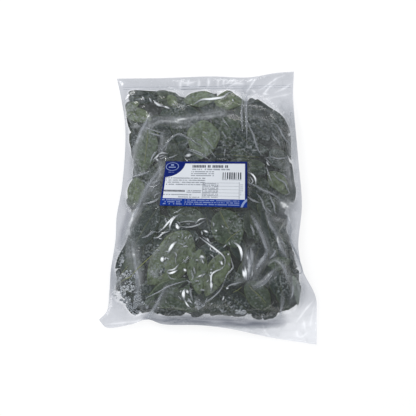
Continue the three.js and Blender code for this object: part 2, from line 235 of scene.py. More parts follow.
# %% Random waves and smoothing
def waves(x, y, size, seed):
    """Smooth random waves of about this size in millimetres, from -1 to 1."""
    lattice = np.random.default_rng(seed).uniform(-1, 1, (97, 97))
    c, r = np.asarray(x) / size + 1000.0, np.asarray(y) / size + 1000.0
    i, j = np.floor(c).astype(int), np.floor(r).astype(int)
    c, r = c - i, r - j
    c, r = c * c * (3 - 2 * c), r * r * (3 - 2 * r)
    i, j, i1, j1 = i % 97, j % 97, (i + 1) % 97, (j + 1) % 97
    near = (1 - c) * lattice[j, i] + c * lattice[j, i1]
    far = (1 - c) * lattice[j1, i] + c * lattice[j1, i1]
    return (1 - r) * near + r * far


def neighbours(grid, **padding):
    """The sum of each cell's four neighbours."""
    p = np.pad(grid, 1, **(padding or {"mode": "edge"}))
    return p[:-2, 1:-1] + p[2:, 1:-1] + p[1:-1, :-2] + p[1:-1, 2:]


print("waves at the middle:", round(float(waves(0, 0, 16, 3)), 2))


# %% Solids between two grids of points
def closed_grid(top, bottom, ratio=1):
    """Points and triangles of a solid between two grids; the lower may be coarser by ratio."""

    def sheet(grid):
        """One grid's triangles, and the run of points round its rim."""
        index = np.arange(grid.shape[0] * grid.shape[1]).reshape(grid.shape[:2])
        a, b, c, d = index[:-1, :-1], index[:-1, 1:], index[1:, 1:], index[1:, :-1]
        halves = [np.stack(corner, -1).reshape(-1, 3) for corner in ((a, b, c), (a, c, d))]
        rim = [index[0, :-1], index[:-1, -1], index[-1, :0:-1], index[:0:-1, 0]]
        return np.concatenate(halves), np.concatenate(rim)

    upper, fine = sheet(top)
    lower, coarse = sheet(bottom)
    count = top.shape[0] * top.shape[1]
    coarse = coarse + count
    walls = []
    for step in range(ratio):
        this, following = np.roll(fine, -step)[::ratio], np.roll(fine, -step - 1)[::ratio]
        walls.append(np.stack([this, coarse, following], -1))
    walls.append(np.stack([np.roll(fine, -ratio)[::ratio], coarse, np.roll(coarse, -1)], -1))
    triangles = np.concatenate([upper, lower[:, ::-1] + count] + walls)
    return np.concatenate([top.reshape(-1, 3), bottom.reshape(-1, 3)]), triangles


# %% Mesh objects
def put_in_scene(name, data):
    """A new object of this data, in the scene."""
    thing = bpy.data.objects.new(name, data)
    bpy.context.scene.collection.objects.link(thing)
    return thing


def paint_points(mesh, **values):
    """Stores named values on a mesh's points, one for all or one for each."""
    for key, value in values.items():
        column = np.broadcast_to(np.asarray(value, np.float32), (len(mesh.vertices),))
        mesh.attributes.new(key, "FLOAT", "POINT").data.foreach_set("value", column)


def make_piece(name, points, faces, material, uv=None, **values):
    """A smooth mesh object from points in millimetres, with a UV map and point values."""
    mesh = bpy.data.meshes.new(name)
    faces = faces.tolist() if isinstance(faces, np.ndarray) else faces
    mesh.from_pydata((np.asarray(points) * MM).tolist(), [], faces)
    mesh.shade_smooth()
    if uv is not None:
        corners = np.zeros(len(mesh.loops), np.int32)
        mesh.loops.foreach_get("vertex_index", corners)
        mesh.uv_layers.new(name="UVMap").data.foreach_set("uv", np.asarray(uv)[corners].ravel())
    paint_points(mesh, **values)
    mesh.materials.append(material)
    print(name, "has", len(mesh.polygons), "faces")
    return put_in_scene(name, mesh)


def join(solids):
    """Several (points, triangles, uv, value) solids as one set of arrays."""
    starts = np.cumsum([0] + [len(s[0]) for s in solids[:-1]])
    return (
        np.concatenate([s[0] for s in solids]),
        np.concatenate([s[1] + start for s, start in zip(solids, starts)]),
        np.concatenate([s[2] for s in solids]),
        np.concatenate([np.full(len(s[0]), s[3]) for s in solids]),
    )


# %% [markdown]
# ## Materials
#
# Node trees are written with one helper that adds a node, sets it and links it. The film is
# the hard one. Real film passes most light, reflects a little at every angle and much at a
# glancing one, and turns milky where it is creased, frosted inside or stands off the leaves.
# A glass shader on so thin a wall would be noisy and dark. So the film mixes a clear and a
# milky part by values painted on its points, darkens the clear part by a grey tint and painted
# shade, gives its sharpest creases a painted highlight that glows a little, and adds the gloss on
# top.

# %% Node helpers
def add(tree, kind, links=(), **settings):
    """A node of this kind, with its properties set and its sockets linked or filled in."""
    node = tree.nodes.new(kind)
    for key, value in settings.items():
        setattr(node, key, value)
    for key, value in dict(links).items():
        if isinstance(key, int):
            socket = node.inputs[key]
        else:
            socket = next(s for s in node.inputs if s.name == key and s.enabled)
        if isinstance(value, bpy.types.NodeSocket):
            tree.links.new(value, socket)
        else:
            socket.default_value = value
    return node


def sum_up(tree, operation, *values, clamp=False):
    """The result of a Math node on sockets or numbers."""
    node = add(tree, "ShaderNodeMath", dict(enumerate(values)), operation=operation, use_clamp=clamp)
    return node.outputs[0]


def remap(tree, value, start, end, low=0.0, high=1.0):
    """The value stretched so that start becomes low and end becomes high, and held there."""
    limits = {"From Min": start, "From Max": end, "To Min": low, "To Max": high}
    return add(tree, "ShaderNodeMapRange", {"Value": value, **limits}).outputs[0]


def noise(tree, place, scale, detail, roughness=0.5):
    """Cloudy noise, about this many patches to a metre."""
    look = {"Scale": scale, "Detail": detail, "Roughness": roughness}
    return add(tree, "ShaderNodeTexNoise", {"Vector": place, **look}).outputs[0]


def painted(tree, name):
    """A value that is stored on a piece's points."""
    return add(tree, "ShaderNodeAttribute", attribute_name=name).outputs["Fac"]


def relief(tree, height, strength, depth):
    """A bumped normal, from a height and its depth in metres."""
    return add(tree, "ShaderNodeBump", {"Height": height, "Strength": strength, "Distance": depth}).outputs[0]


def blend(tree, factor, low, high):
    """A mix of two colours."""
    node = add(tree, "ShaderNodeMix", data_type="RGBA")
    for index, value in ((0, factor), (6, low), (7, high)):
        if isinstance(value, bpy.types.NodeSocket):
            tree.links.new(value, node.inputs[index])
        else:
            node.inputs[index].default_value = value if index == 0 else (*value, 1)
    return node.outputs[2]


def new_material(name):
    """An empty material, its node tree and its output's surface socket."""
    material = bpy.data.materials.new(name)
    material.use_nodes = True
    material.node_tree.nodes.clear()
    output = add(material.node_tree, "ShaderNodeOutputMaterial")
    return material, material.node_tree, output.inputs["Surface"]


# %% Film
CLEAR_TINT = (0.945, 0.953, 0.972)
SHADED_TINT = (0.415, 0.43, 0.475)
MILK = (0.50, 0.525, 0.56)
# The white of the painted highlights on the creases; the milkiest strokes turn toward it too.
HIGHLIGHT_WHITE = (0.93, 0.96, 0.99)
FILM_ROUGHNESS = 0.13
LIT_THROUGH = 0.30
# How strongly the painted highlights glow.
HIGHLIGHT_GLOW = 0.3
GLOSS_FACING = 0.028
GLOSS_GLANCING = 0.7


def film_material():
    """Film with four painted values: how milky, how dark by grey tint and painted shade, how frosted, and how
    bright its painted glints are.
    """
    material, tree, surface = new_material("film")
    haze, shade, grain, glint = (painted(tree, name) for name in ("haze", "shade", "grain", "glint"))
    place = add(tree, "ShaderNodeTexCoord").outputs["Object"]
    crystals = remap(tree, noise(tree, place, 330.0, 2.0, 0.6), 0.46, 0.66, -0.15, 1.0)
    milkiness = sum_up(tree, "MULTIPLY_ADD", crystals, grain, haze, clamp=True)
    clear = add(tree, "ShaderNodeBsdfTransparent", {"Color": blend(tree, shade, CLEAR_TINT, SHADED_TINT)})
    # Milky film turns toward painted highlight white where it is milkiest, above all on the crease beads.
    colour = blend(tree, remap(tree, haze, 0.5, 0.85), MILK, HIGHLIGHT_WHITE)
    milky_and_bright = add(tree, "ShaderNodeBsdfDiffuse", {"Color": colour})
    glowing = add(tree, "ShaderNodeBsdfTranslucent", {"Color": colour})
    milk = add(tree, "ShaderNodeMixShader", {0: LIT_THROUGH, 1: milky_and_bright.outputs[0], 2: glowing.outputs[0]})
    body = add(tree, "ShaderNodeMixShader", {0: milkiness, 1: clear.outputs[0], 2: milk.outputs[0]})
    # The milkiest film, above all the crease beads, and the painted glints give off a little light: a painted
    # highlight.
    painted_highlight = sum_up(tree, "MAXIMUM", remap(tree, haze, 0.66, 0.9), glint)
    highlight_emission = add(tree, "ShaderNodeEmission", {"Strength": sum_up(tree, "MULTIPLY", painted_highlight, HIGHLIGHT_GLOW)})
    body = add(tree, "ShaderNodeAddShader", {0: body.outputs[0], 1: highlight_emission.outputs[0]})
    normal = relief(tree, noise(tree, place, 260.0, 3.0), 0.12, 0.0006)
    gloss = add(
        tree, "ShaderNodeBsdfAnisotropic",
        {"Color": (1, 1, 1, 1), "Roughness": FILM_ROUGHNESS, "Normal": normal},
    )
    facing = add(tree, "ShaderNodeLayerWeight", {"Normal": normal}).outputs["Facing"]
    edge = sum_up(tree, "POWER", facing, 4.0)
    shine = sum_up(tree, "MULTIPLY_ADD", edge, GLOSS_GLANCING, GLOSS_FACING, clamp=True)
    mix = add(tree, "ShaderNodeMixShader", {0: shine, 1: body.outputs[0], 2: gloss.outputs[0]})
    tree.links.new(mix.outputs[0], surface)
    return material


film = film_material()
print("the film reads", [n.attribute_name for n in film.node_tree.nodes if n.type == "ATTRIBUTE"])

# %% [markdown]
# ## Leaf, stem, frost and core finishes
#
# A frozen lime leaf is waxy and dark above, paler and duller below, with a light midrib, fine
# side veins and rime in patches. One material can give every leaf its own green if a tone is
# painted on its points and looked up on a ramp. The veins follow the leaf's own UV map, so
# they turn and bend with it. Stem, ice and core are small or hidden, so they are plain.

# %% Leaf
LEAF_TONES = [
    # a tone, and its green
    (0.00, (0.006, 0.012, 0.012)),
    (0.20, (0.017, 0.035, 0.027)),
    (0.35, (0.033, 0.048, 0.028)),
    (0.50, (0.047, 0.076, 0.039)),
    (0.68, (0.090, 0.122, 0.050)),
    (0.85, (0.100, 0.136, 0.075)),
    (1.00, (0.200, 0.250, 0.200)),
]
VEIN_COLOUR = (0.20, 0.24, 0.11)
RIB_COLOUR = (0.24, 0.26, 0.10)
RIM_COLOUR = (0.13, 0.155, 0.055)
RIME_COLOUR = (0.25, 0.28, 0.28)
SIDE_VEINS = 12.0
VEIN_SLANT = 3.2


def finish(tree, surface, values):
    """A Principled shader with these sockets becomes the material's surface."""
    tree.links.new(add(tree, "ShaderNodeBsdfPrincipled", values).outputs[0], surface)


def tone_ramp(tree):
    """The green that belongs to a leaf's tone."""
    ramp = add(tree, "ShaderNodeValToRGB", {0: painted(tree, "tone")})
    stops = ramp.color_ramp.elements
    while len(stops) < len(LEAF_TONES):
        stops.new(0.5)
    for stop, (position, colour) in zip(stops, LEAF_TONES):
        stop.position = position
        stop.color = (*colour, 1)
    return ramp.outputs[0]


def leaf_material():
    """A leaf's green, mottled, then veined, rimmed and rimed."""
    material, tree, surface = new_material("leaf")
    green = tone_ramp(tree)
    coordinates = add(tree, "ShaderNodeTexCoord").outputs
    place = coordinates["Object"]
    across, up = add(tree, "ShaderNodeSeparateXYZ", {0: coordinates["UV"]}).outputs[:2]
    side = sum_up(tree, "ABSOLUTE", sum_up(tree, "MULTIPLY_ADD", across, 2.0, -1.0))
    midrib = remap(tree, side, 0.02, 0.08, 1.0, 0.0)
    slanted = sum_up(tree, "MULTIPLY_ADD", side, -VEIN_SLANT, sum_up(tree, "MULTIPLY", up, SIDE_VEINS))
    veins = remap(tree, sum_up(tree, "PINGPONG", slanted, 0.5), 0.0, 0.07, 1.0, 0.0)
    mottle = noise(tree, place, 170.0, 4.0, 0.62)
    spots = sum_up(tree, "MULTIPLY_ADD", mottle, 3.0, -1.05, clamp=True)
    darker = {"Value": 0.5, "Color": green}
    lighter = {"Value": 1.75, "Saturation": 0.8, "Color": green}
    darker, lighter = (add(tree, "ShaderNodeHueSaturation", look).outputs[0] for look in (darker, lighter))
    colour = blend(tree, spots, darker, lighter)
    colour = blend(tree, sum_up(tree, "MULTIPLY", veins, 0.12), colour, VEIN_COLOUR)
    colour = blend(tree, sum_up(tree, "MULTIPLY", midrib, 0.2), colour, RIB_COLOUR)
    colour = blend(tree, remap(tree, side, 0.86, 0.98, high=0.35), colour, RIM_COLOUR)
    grains = remap(tree, noise(tree, place, 350.0, 2.0, 0.6), 0.48, 0.66)
    cover = remap(tree, noise(tree, place, 45.0, 2.0), 0.42, 0.64, 0.08, 0.9)
    colour = blend(tree, sum_up(tree, "MULTIPLY", grains, cover), colour, RIME_COLOUR)
    normal = relief(tree, sum_up(tree, "MULTIPLY_ADD", veins, 0.4, mottle), 0.5, 0.0008)
    wax = {"Roughness": 0.42, "Specular IOR Level": 0.4}
    finish(tree, surface, {"Base Color": colour, "Normal": normal, **wax})
    return material


leaf = leaf_material()
print("the leaf's material has", len(leaf.node_tree.nodes), "nodes")


# %% Stem, frost and core
def plain_material(name, colour, roughness):
    """One colour all over."""
    material, tree, surface = new_material(name)
    finish(tree, surface, {"Base Color": (*colour, 1), "Roughness": roughness})
    return material


stem = plain_material("stem", (0.19, 0.21, 0.085), 0.5)
frost = plain_material("frost", (0.46, 0.49, 0.52), 0.4)
dark_heap = plain_material("dark heap", (0.010, 0.014, 0.011), 0.6)
print("materials:", ", ".join(sorted(material.name for material in bpy.data.materials)))

# %% [markdown]
# ## The core of the heap
#
# Nobody sees into the middle of the heap. It could be filled with leaves, but they would cost
# a hundred thousand faces for nothing, so it is one dark lumpy body. It keeps a few millimetres
# under the film for the leaves to lie in, and it is made of rings of the leaves' outline, drawn
# in towards the middle.

# %% Core
CORE_DEPTH = 4.5
CORE_LIFT = 2.6
CORE_LUMPS = 1.2
CORE_REACH = 0.91
CORE_POINTS = 140
CORE_RINGS = 22
HEAP_MIDDLE = np.array([2.0, 4.0])


def heap_core():
    """Points and faces of the core: rings above, the same rings below, a wall and two lids."""
    ring = along(leaf_ring, np.linspace(0, 1, CORE_POINTS + 1))[:-1]
    shares = np.linspace(1, 0.04, CORE_RINGS)
    plan = np.stack([HEAP_MIDDLE + (ring - HEAP_MIDDLE) * CORE_REACH * s for s in shares])
    x, y = plan[..., 0], plan[..., 1]
    low = sample(pillow_bottom, x, y) + CORE_LIFT
    top = sample(pillow_top, x, y) - CORE_DEPTH + CORE_LUMPS * waves(x, y, 16, 3)
    top = np.maximum(top, low + 0.8)
    points = np.concatenate([np.stack([x, y, level], -1).reshape(-1, 3) for level in (top, low)])
    n, count = CORE_POINTS, CORE_RINGS * CORE_POINTS
    faces = []
    for k in range(CORE_RINGS - 1):
        for i in range(n):
            a, b = k * n + i, k * n + (i + 1) % n
            faces.append((a, a + n, b + n, b))
            faces.append((count + a, count + b, count + b + n, count + a + n))
    for i in range(n):
        following = (i + 1) % n
        faces.append((i, following, count + following, count + i))
    last = count - n
    faces.append(tuple(last + i for i in reversed(range(n))))
    faces.append(tuple(count + last + i for i in range(n)))
    return points, faces


core_points, core_faces = heap_core()
heap_core_piece = make_piece("heap_core", core_points, core_faces, dark_heap)

# %% [markdown]
# ## One leaf
#
# A lime leaf is a thin oval plate with a pointed tip, sometimes with a second, smaller lobe on
# its stalk. It could be a flat cut-out with a picture on it, but its rim and its waves show
# from the side, so it is a closed solid: one grid for each face, split alike, and a thin wall.

# %% Leaf forms
LEAF_THICKNESS = 0.4
LOOSE_GRID = (12, 7)


def leaf_grid(rows, columns, lobed):
    """Shares along a leaf from 0 to 1 and across it from -1 to 1, and its width at each row."""
    s = 0.5 - 0.5 * np.cos(np.pi * np.linspace(0.03, 0.97, rows))
    a = np.linspace(-1, 1, columns)
    blade = np.sin(np.pi * s**0.85) ** 0.72
    if lobed:
        wing = 0.78 * np.sin(np.pi * np.clip(s / 0.43, 0, 1)) ** 0.7
        blade = np.sin(np.pi * np.clip((s - 0.40) / 0.60, 0, 1) ** 0.85) ** 0.75
        blade = np.maximum(np.maximum(wing, blade), 0.10)
    s, a = np.meshgrid(s, a, indexing="ij")
    return s, a, blade[:, None]


def leaf_solid(x, y, z, s, a, tone):
    """A leaf's points, triangles, UV map and tone from the places of its upper face."""
    top = np.stack([x, y, z], -1)
    bottom = top - np.array([0, 0, LEAF_THICKNESS])
    points, triangles = closed_grid(top, bottom)
    uv = np.stack([(a + 1) / 2, s], -1).reshape(-1, 2)
    return points, triangles, np.concatenate([uv, uv]), tone


def loose_leaf(name, length, width, lobed, cup, bend):
    """A leaf at the origin, cupped across and bent along, for scattering."""
    s, a, blade = leaf_grid(*LOOSE_GRID, lobed)
    x = a * blade * width / 2
    y = (s - 0.5) * length
    z = cup * (a * blade) ** 2 + bend * (2 * s - 1) ** 2 + 0.7 * np.sin(9 * s + length) * a * a
    points, triangles, uv, tone = leaf_solid(x, y, z, s, a, 0.2)
    return make_piece(name, points, triangles, leaf, uv)


LOOSE_LEAVES = [
    # length, width, with a second lobe, how cupped and how bent
    (56, 28, False, 2.5, -1.5), (46, 24, False, -2.0, -1.0),
    (62, 26, True, 1.5, -2.0), (38, 20, False, 2.0, 0.5),
]
leaf_kinds = bpy.data.collections.new("leaf kinds")
for number, sizes in enumerate(LOOSE_LEAVES):
    kind = loose_leaf(f"loose_leaf_{number}", *sizes)
    bpy.context.scene.collection.objects.unlink(kind)
    leaf_kinds.objects.link(kind)

# %% [markdown]
# ## Leaves scattered over the core
#
# Some three hundred leaves make up the outside of the heap. To place them one by one would be
# slow work that nobody sees, so Geometry Nodes spread points over the core, stand a leaf on
# each, and turn and tilt it at random. Every leaf also gets a random tone. The tree ends by
# making the instances real, as an instance isn't a mesh that can be exported.

# %% Geometry Nodes helpers
SOCKET_TYPES = {
    float: "NodeSocketFloat",
    int: "NodeSocketInt",
    bpy.types.Material: "NodeSocketMaterial",
    bpy.types.Collection: "NodeSocketCollection",
}


def new_tree(name, **inputs):
    """A geometry tree with one named input for each size, and its input and output nodes."""
    tree = bpy.data.node_groups.new(name, "GeometryNodeTree")
    tree.interface.new_socket("Geometry", in_out="INPUT", socket_type="NodeSocketGeometry")
    for label, value in inputs.items():
        tree.interface.new_socket(label, in_out="INPUT", socket_type=SOCKET_TYPES[type(value)])
    tree.interface.new_socket("Geometry", in_out="OUTPUT", socket_type="NodeSocketGeometry")
    return tree, add(tree, "NodeGroupInput").outputs, add(tree, "NodeGroupOutput").inputs["Geometry"]


def run_tree(name, source, tree, **inputs):
    """The tree's result on source as a new plain mesh object. The source stays."""
    modifier = source.modifiers.new(name, "NODES")
    modifier.node_group = tree
    for item in tree.interface.items_tree:
        if item.name in inputs:
            modifier[item.identifier] = inputs[item.name]
    depsgraph = bpy.context.evaluated_depsgraph_get()
    mesh = bpy.data.meshes.new_from_object(source.evaluated_get(depsgraph))
    source.modifiers.remove(modifier)
    mesh.shade_smooth()
    print(name, "has", len(mesh.polygons), "faces")
    return put_in_scene(name, mesh)


def close_tree(tree, geometry, material, result):
    """Makes the instances real, gives them their material and hands them to the output."""
    real = add(tree, "GeometryNodeRealizeInstances", {"Geometry": geometry})
    done = add(tree, "GeometryNodeSetMaterial", {"Geometry": real.outputs[0], "Material": material})
    tree.links.new(done.outputs[0], result)
    return tree


def store(tree, geometry, name, value, domain="POINT"):
    """The geometry with a named value stored on it."""
    links = {"Geometry": geometry, "Name": name, "Value": value}
    return add(tree, "GeometryNodeStoreNamedAttribute", links, data_type="FLOAT", domain=domain).outputs[0]


def recall(tree, name):
    """A named value that is stored on the geometry."""
    return add(tree, "GeometryNodeInputNamedAttribute", {"Name": name}, data_type="FLOAT").outputs[0]


def spread_points(tree, given, most):
    """Points on the incoming mesh, no nearer than the spacing, with at most so many to a square metre."""
    links = {"Mesh": given["Geometry"], "Distance Min": given["spacing"], "Seed": given["seed"]}
    return add(
        tree, "GeometryNodeDistributePointsOnFaces", {**links, "Density Max": most},
        distribute_method="POISSON",
    ).outputs


def random_between(tree, low, high, seed, kind="FLOAT"):
    """A Random Value node's result between two values."""
    node = add(tree, "FunctionNodeRandomValue", {"Min": low, "Max": high, "Seed": seed}, data_type=kind)
    return next(s for s in node.outputs if s.enabled)


# %% The tree that scatters leaves
SCATTER = {"spacing": 0.013, "tilt": 0.16, "smallest": 0.8, "largest": 1.15, "seed": 12}


def scatter_tree(values):
    """Stands a leaf of a random kind, size, turn, tilt and tone on every point."""
    tree, given, result = new_tree("scatter leaves", **values)
    spots = spread_points(tree, given, 9000.0)
    kinds = add(
        tree, "GeometryNodeCollectionInfo",
        {"Collection": given["kinds"], "Separate Children": True, "Reset Children": True},
    )
    stand = add(
        tree, "GeometryNodeInstanceOnPoints",
        {
            "Points": spots["Points"],
            "Instance": kinds.outputs[0],
            "Pick Instance": True,
            "Instance Index": random_between(tree, 0, len(LOOSE_LEAVES) - 1, 1, "INT"),
            "Rotation": spots["Rotation"],
            "Scale": random_between(tree, given["smallest"], given["largest"], 2),
        },
    )
    spin = random_between(tree, -3.14, 3.14, 3)
    least = sum_up(tree, "MULTIPLY", given["tilt"], -1.0)
    lean, roll = (random_between(tree, least, given["tilt"], seed) for seed in (4, 5))
    turn = add(tree, "ShaderNodeCombineXYZ", {0: lean, 1: roll, 2: spin})
    turned = add(
        tree, "GeometryNodeRotateInstances",
        {"Instances": stand.outputs[0], "Rotation": turn.outputs[0], "Local Space": True},
    )
    toned = store(tree, turned.outputs[0], "tone", random_between(tree, 0.0, 0.3, 6), "INSTANCE")
    return close_tree(tree, toned, given["material"], result)


# %% Scatter them
scatter_inputs = {**SCATTER, "kinds": leaf_kinds, "material": leaf}
leaf_heap = run_tree("leaf_heap", heap_core_piece, scatter_tree(scatter_inputs), **scatter_inputs)

# %% [markdown]
# ## Scattered leaves kept under the film
#
# The scattered leaves poke out of the heap here and there, as the tree doesn't know where the
# film is. Their points are pulled in from the heap's rim and pressed down softly under the
# pillow's surface. Cutting them off would leave open edges, while a soft press keeps the order
# of the points, so a leaf keeps its two faces.

# %% Tools that read, draw in and press points
PRESS_SOFTNESS = 1.6
RIM_KEEP = 0.5
HEAP_DEPTH = 1.7
HEAP_LIFT = 0.6

inward_y, inward_x = np.gradient(leaf_room)


def press_under(z, ceiling, softness=PRESS_SOFTNESS):
    """z, pressed softly down under a ceiling."""
    over = np.clip((ceiling - z) / softness, -40, 40)
    return ceiling - softness * np.log1p(np.exp(over))


def mesh_points(piece):
    """A piece's points in millimetres."""
    flat = np.zeros(len(piece.data.vertices) * 3, np.float32)
    piece.data.vertices.foreach_get("co", flat)
    return flat.reshape(-1, 3).astype(float) / MM


def set_points(piece, points):
    """Moves a piece's points to these places in millimetres."""
    piece.data.vertices.foreach_set("co", (points * MM).astype(np.float32).ravel())
    piece.data.update()


def mesh_triangles(piece):
    """A piece's triangles, each as three point numbers."""
    piece.data.calc_loop_triangles()
    flat = np.zeros(len(piece.data.loop_triangles) * 3, np.int32)
    piece.data.loop_triangles.foreach_get("vertices", flat)
    return flat.reshape(-1, 3)


def keep_inside(x, y):
    """Draws points that lie outside the heap, or too near its edge, back in."""
    for _ in range(3):
        short = np.clip(RIM_KEEP - sample(leaf_room, x, y), 0, 12)
        x, y = x + short * sample(inward_x, x, y), y + short * sample(inward_y, x, y)
    return x, y


# %% Press the scattered leaves into the pillow
points = mesh_points(leaf_heap)
x, y = keep_inside(points[:, 0], points[:, 1])
points[:, 0], points[:, 1] = x, y
points[:, 2] = press_under(points[:, 2], sample(pillow_top, x, y) - HEAP_DEPTH)
points[:, 2] = -press_under(-points[:, 2], -sample(pillow_bottom, x, y) - HEAP_LIFT, 0.5)
set_points(leaf_heap, points)
print("leaf heap reaches", round(points[:, 2].max(), 1), "mm")

# %% The ground that the next leaves lie on
ground = pillow_bottom.copy()


def raise_ground(points, triangles, parts=6):
    """Lifts the ground raster to the top of these triangles."""
    corners = points[triangles]
    for i in range(parts + 1):
        for j in range(parts + 1 - i):
            share = np.array([i, j, parts - i - j]) / parts
            p = np.einsum("k,tkc->tc", share, corners)
            row = np.clip(np.rint(p[:, 1] - ys[0]).astype(int), 0, len(ys) - 1)
            column = np.clip(np.rint(p[:, 0] - xs[0]).astype(int), 0, len(xs) - 1)
            np.maximum.at(ground, (row, column), p[:, 2])


raise_ground(core_points, mesh_triangles(heap_core_piece))
raise_ground(points, mesh_triangles(leaf_heap))
print("ground reaches", round(ground.max(), 1), "mm")

# %% [markdown]
# ## The leaves that show
#
# The leaves right under the film are what a viewer knows the bag by, so these are listed one
# by one: base, tip, width and tone of each, the lowest first. Cloth simulation could drape them,
# but a leaf is stiff and only has to bridge the dips below it. So each one starts on the
# ground under it, is smoothed while it may not sink, and then becomes ground for the next.

# %% Where they lie
FRONT_LEAVES = [
    # x and y of the stalk, x and y of the tip, width, tone
    (-102, 141, -66, 141, 19, 0.10), (-65, 141, -31, 140, 19, 0.35), (-32, 139, 12, 141, 23, 0.78),
    (8, 136, 46, 135, 24, 0.70), (51, 127, 84, 126, 23, 0.05), (80, 117, 103, 76, 24, 0.10),
    (-104, 122, -71, 112, 19, 0.72), (-36, 125, -41, 90, 22, 0.30), (-74, 102, -46, 95, 18, 0.10),
    (19, 114, 43, 84, 25, 0.45), (54, 112, 78, 86, 22, 0.08), (-4, 112, -9, 62, 42, 0.82),
    (-53, 90, -36, 63, 17, 0.30), (-75, 102, -83, 45, 31, 0.56), (30, 100, 66, 66, 26, 0.12),
    (79, 74, 105, 50, 24, 0.20), (53, 56, 75, 46, 18, 0.25), (77, 46, 103, 17, 21, 0.70),
    (-92, 40, -94, 0, 24, 0.72), (54, 22, 72, 17, 16, 0.10), (-64, 0, -97, -56, 31, 0.15),
    (-103, -43, -112, -72, 15, 0.12), (-108, -68, -80, -77, 20, 0.40), (-110, -98, -88, -116, 21, 0.06),
    (-48, -4, -4, -12, 22, 0.42), (-23, -30, -76, -97, 50, 0.64), (14, -3, 38, -50, 42, 0.48),
    (52, -2, 64, -42, 22, 0.30), (70, 0, 82, -53, 19, 0.15), (84, -18, 101, -53, 22, 0.20),
    (76, -73, 106, -66, 17, 0.50), (69, -42, 52, -96, 33, 0.02), (97, -77, 108, -124, 24, 0.08),
    (-23, -93, -82, -124, 34, 0.52), (-10, -52, -11, -110, 26, 0.80), (26, -54, -3, -112, 28, 0.70),
    (-55, -112, -12, -130, 24, 0.46), (-6, -118, 21, -128, 21, 0.25), (24, -106, 53, -131, 27, 0.08),
    (49, -94, 79, -132, 29, 0.44),
]
LEAF_SCRAPS = [
    # small or torn pieces at the heap's rim and between the leaves
    (-102, 147, -76, 147, 9, 0.08), (-66, 147, -41, 146, 9, 0.40), (50, 134, 60, 139, 10, 0.05),
    (-105, 124, -87, 135, 11, 0.70), (84, 125, 108, 95, 19, 0.10), (107, 94, 108, 60, 15, 0.14),
    (110, 52, 111, 18, 14, 0.20),
    (-51, 144, -40, 127, 13, 0.70), (-102, 12, -101, -4, 6, 0.62), (-98, 10, -90, 3, 7, 0.62),
    (-90, -2, -93, -9, 5, 0.08), (-101, -10, -98, -16, 5, 0.60), (99, 9, 110, 8, 5, 0.25),
    (103, -8, 106, -18, 6, 0.05), (109, -86, 116, -126, 10, 0.97), (-66, -80, -65, -89, 6, 0.98),
    (27, 57, 73, 55, 18, 0.42),
]
print(len(FRONT_LEAVES), "leaves and", len(LEAF_SCRAPS), "scraps show")

# %% Room under the film and the label
LABEL_FOOT = 2.0
LABEL_WIDTH, LABEL_HEIGHT = 110, 57
LABEL_RIM = 7.0
LEAF_RISE = 1.6
LABEL_PRESS = 2.6


def label_frame(x, y):
    """Across and up the label at (x, y), from 0 to 1 on it."""
    lower_left, lower_right, upper_right, upper_left = LABEL_CORNERS
    v = (y - LABEL_FOOT) / LABEL_HEIGHT
    left = lower_left[0] + (upper_left[0] - lower_left[0]) * v
    right = lower_right[0] + (upper_right[0] - lower_right[0]) * v
    return (x - left) / (right - left), v


u, v = label_frame(X, Y)
past_side = np.maximum(np.abs(u - 0.5) - 0.5, 0) * LABEL_WIDTH
past_end = np.maximum(np.abs(v - 0.5) - 0.5, 0) * LABEL_HEIGHT
label_zone = 1 - ease(np.hypot(past_side, past_end), 0.5, LABEL_RIM)
leaf_ceiling = pillow_top + LEAF_RISE - LABEL_PRESS * label_zone
print("the leaves may reach", round(leaf_ceiling.max(), 1), "mm")

# %% Drape one leaf
UNDER_LEAVES = 100
UNDER_LEAF_ROOM = 2
DRAPE_ROUNDS = 26
LAID_SOFTNESS = 0.8
FRONT_GRID = (20, 11)


def lay_leaf(x0, y0, x1, y1, width, tone, order, lobed=False):
    """A leaf draped on what lies below, which then counts as ground."""
    s, a, blade = leaf_grid(*FRONT_GRID, lobed)
    run = np.array([x1 - x0, y1 - y0], float)
    length = np.hypot(*run)
    run /= length
    side = a * blade * width / 2 * (1 + 0.05 * np.sin(11 * s + order))
    sway = 0.05 * length * np.sin(np.pi * s) * np.sin(order * 1.7)
    x = x0 + run[0] * s * length + run[1] * (side + sway)
    y = y0 + run[1] * s * length - run[0] * (side + sway)
    x, y = keep_inside(x, y)
    floor = sample(ground, x, y) + LEAF_THICKNESS + 0.1
    z = floor.copy()
    for _ in range(DRAPE_ROUNDS):
        z = np.maximum(floor, neighbours(z, mode="reflect", reflect_type="odd") / 4)
    curl = np.clip(width / 28, 0.3, 1.3)
    z = z + curl * (0.5 * np.sin(7 * s + 2 * order) * a * a + 0.35 * np.sin(3 * order) * (1 - a * a))
    z = z - 0.4 * curl * np.exp(-((a / 0.16) ** 2))
    z = press_under(z, sample(leaf_ceiling, x, y), LAID_SOFTNESS)
    solid = leaf_solid(x, y, z, s, a, tone)
    raise_ground(solid[0], solid[1], 5)
    return solid


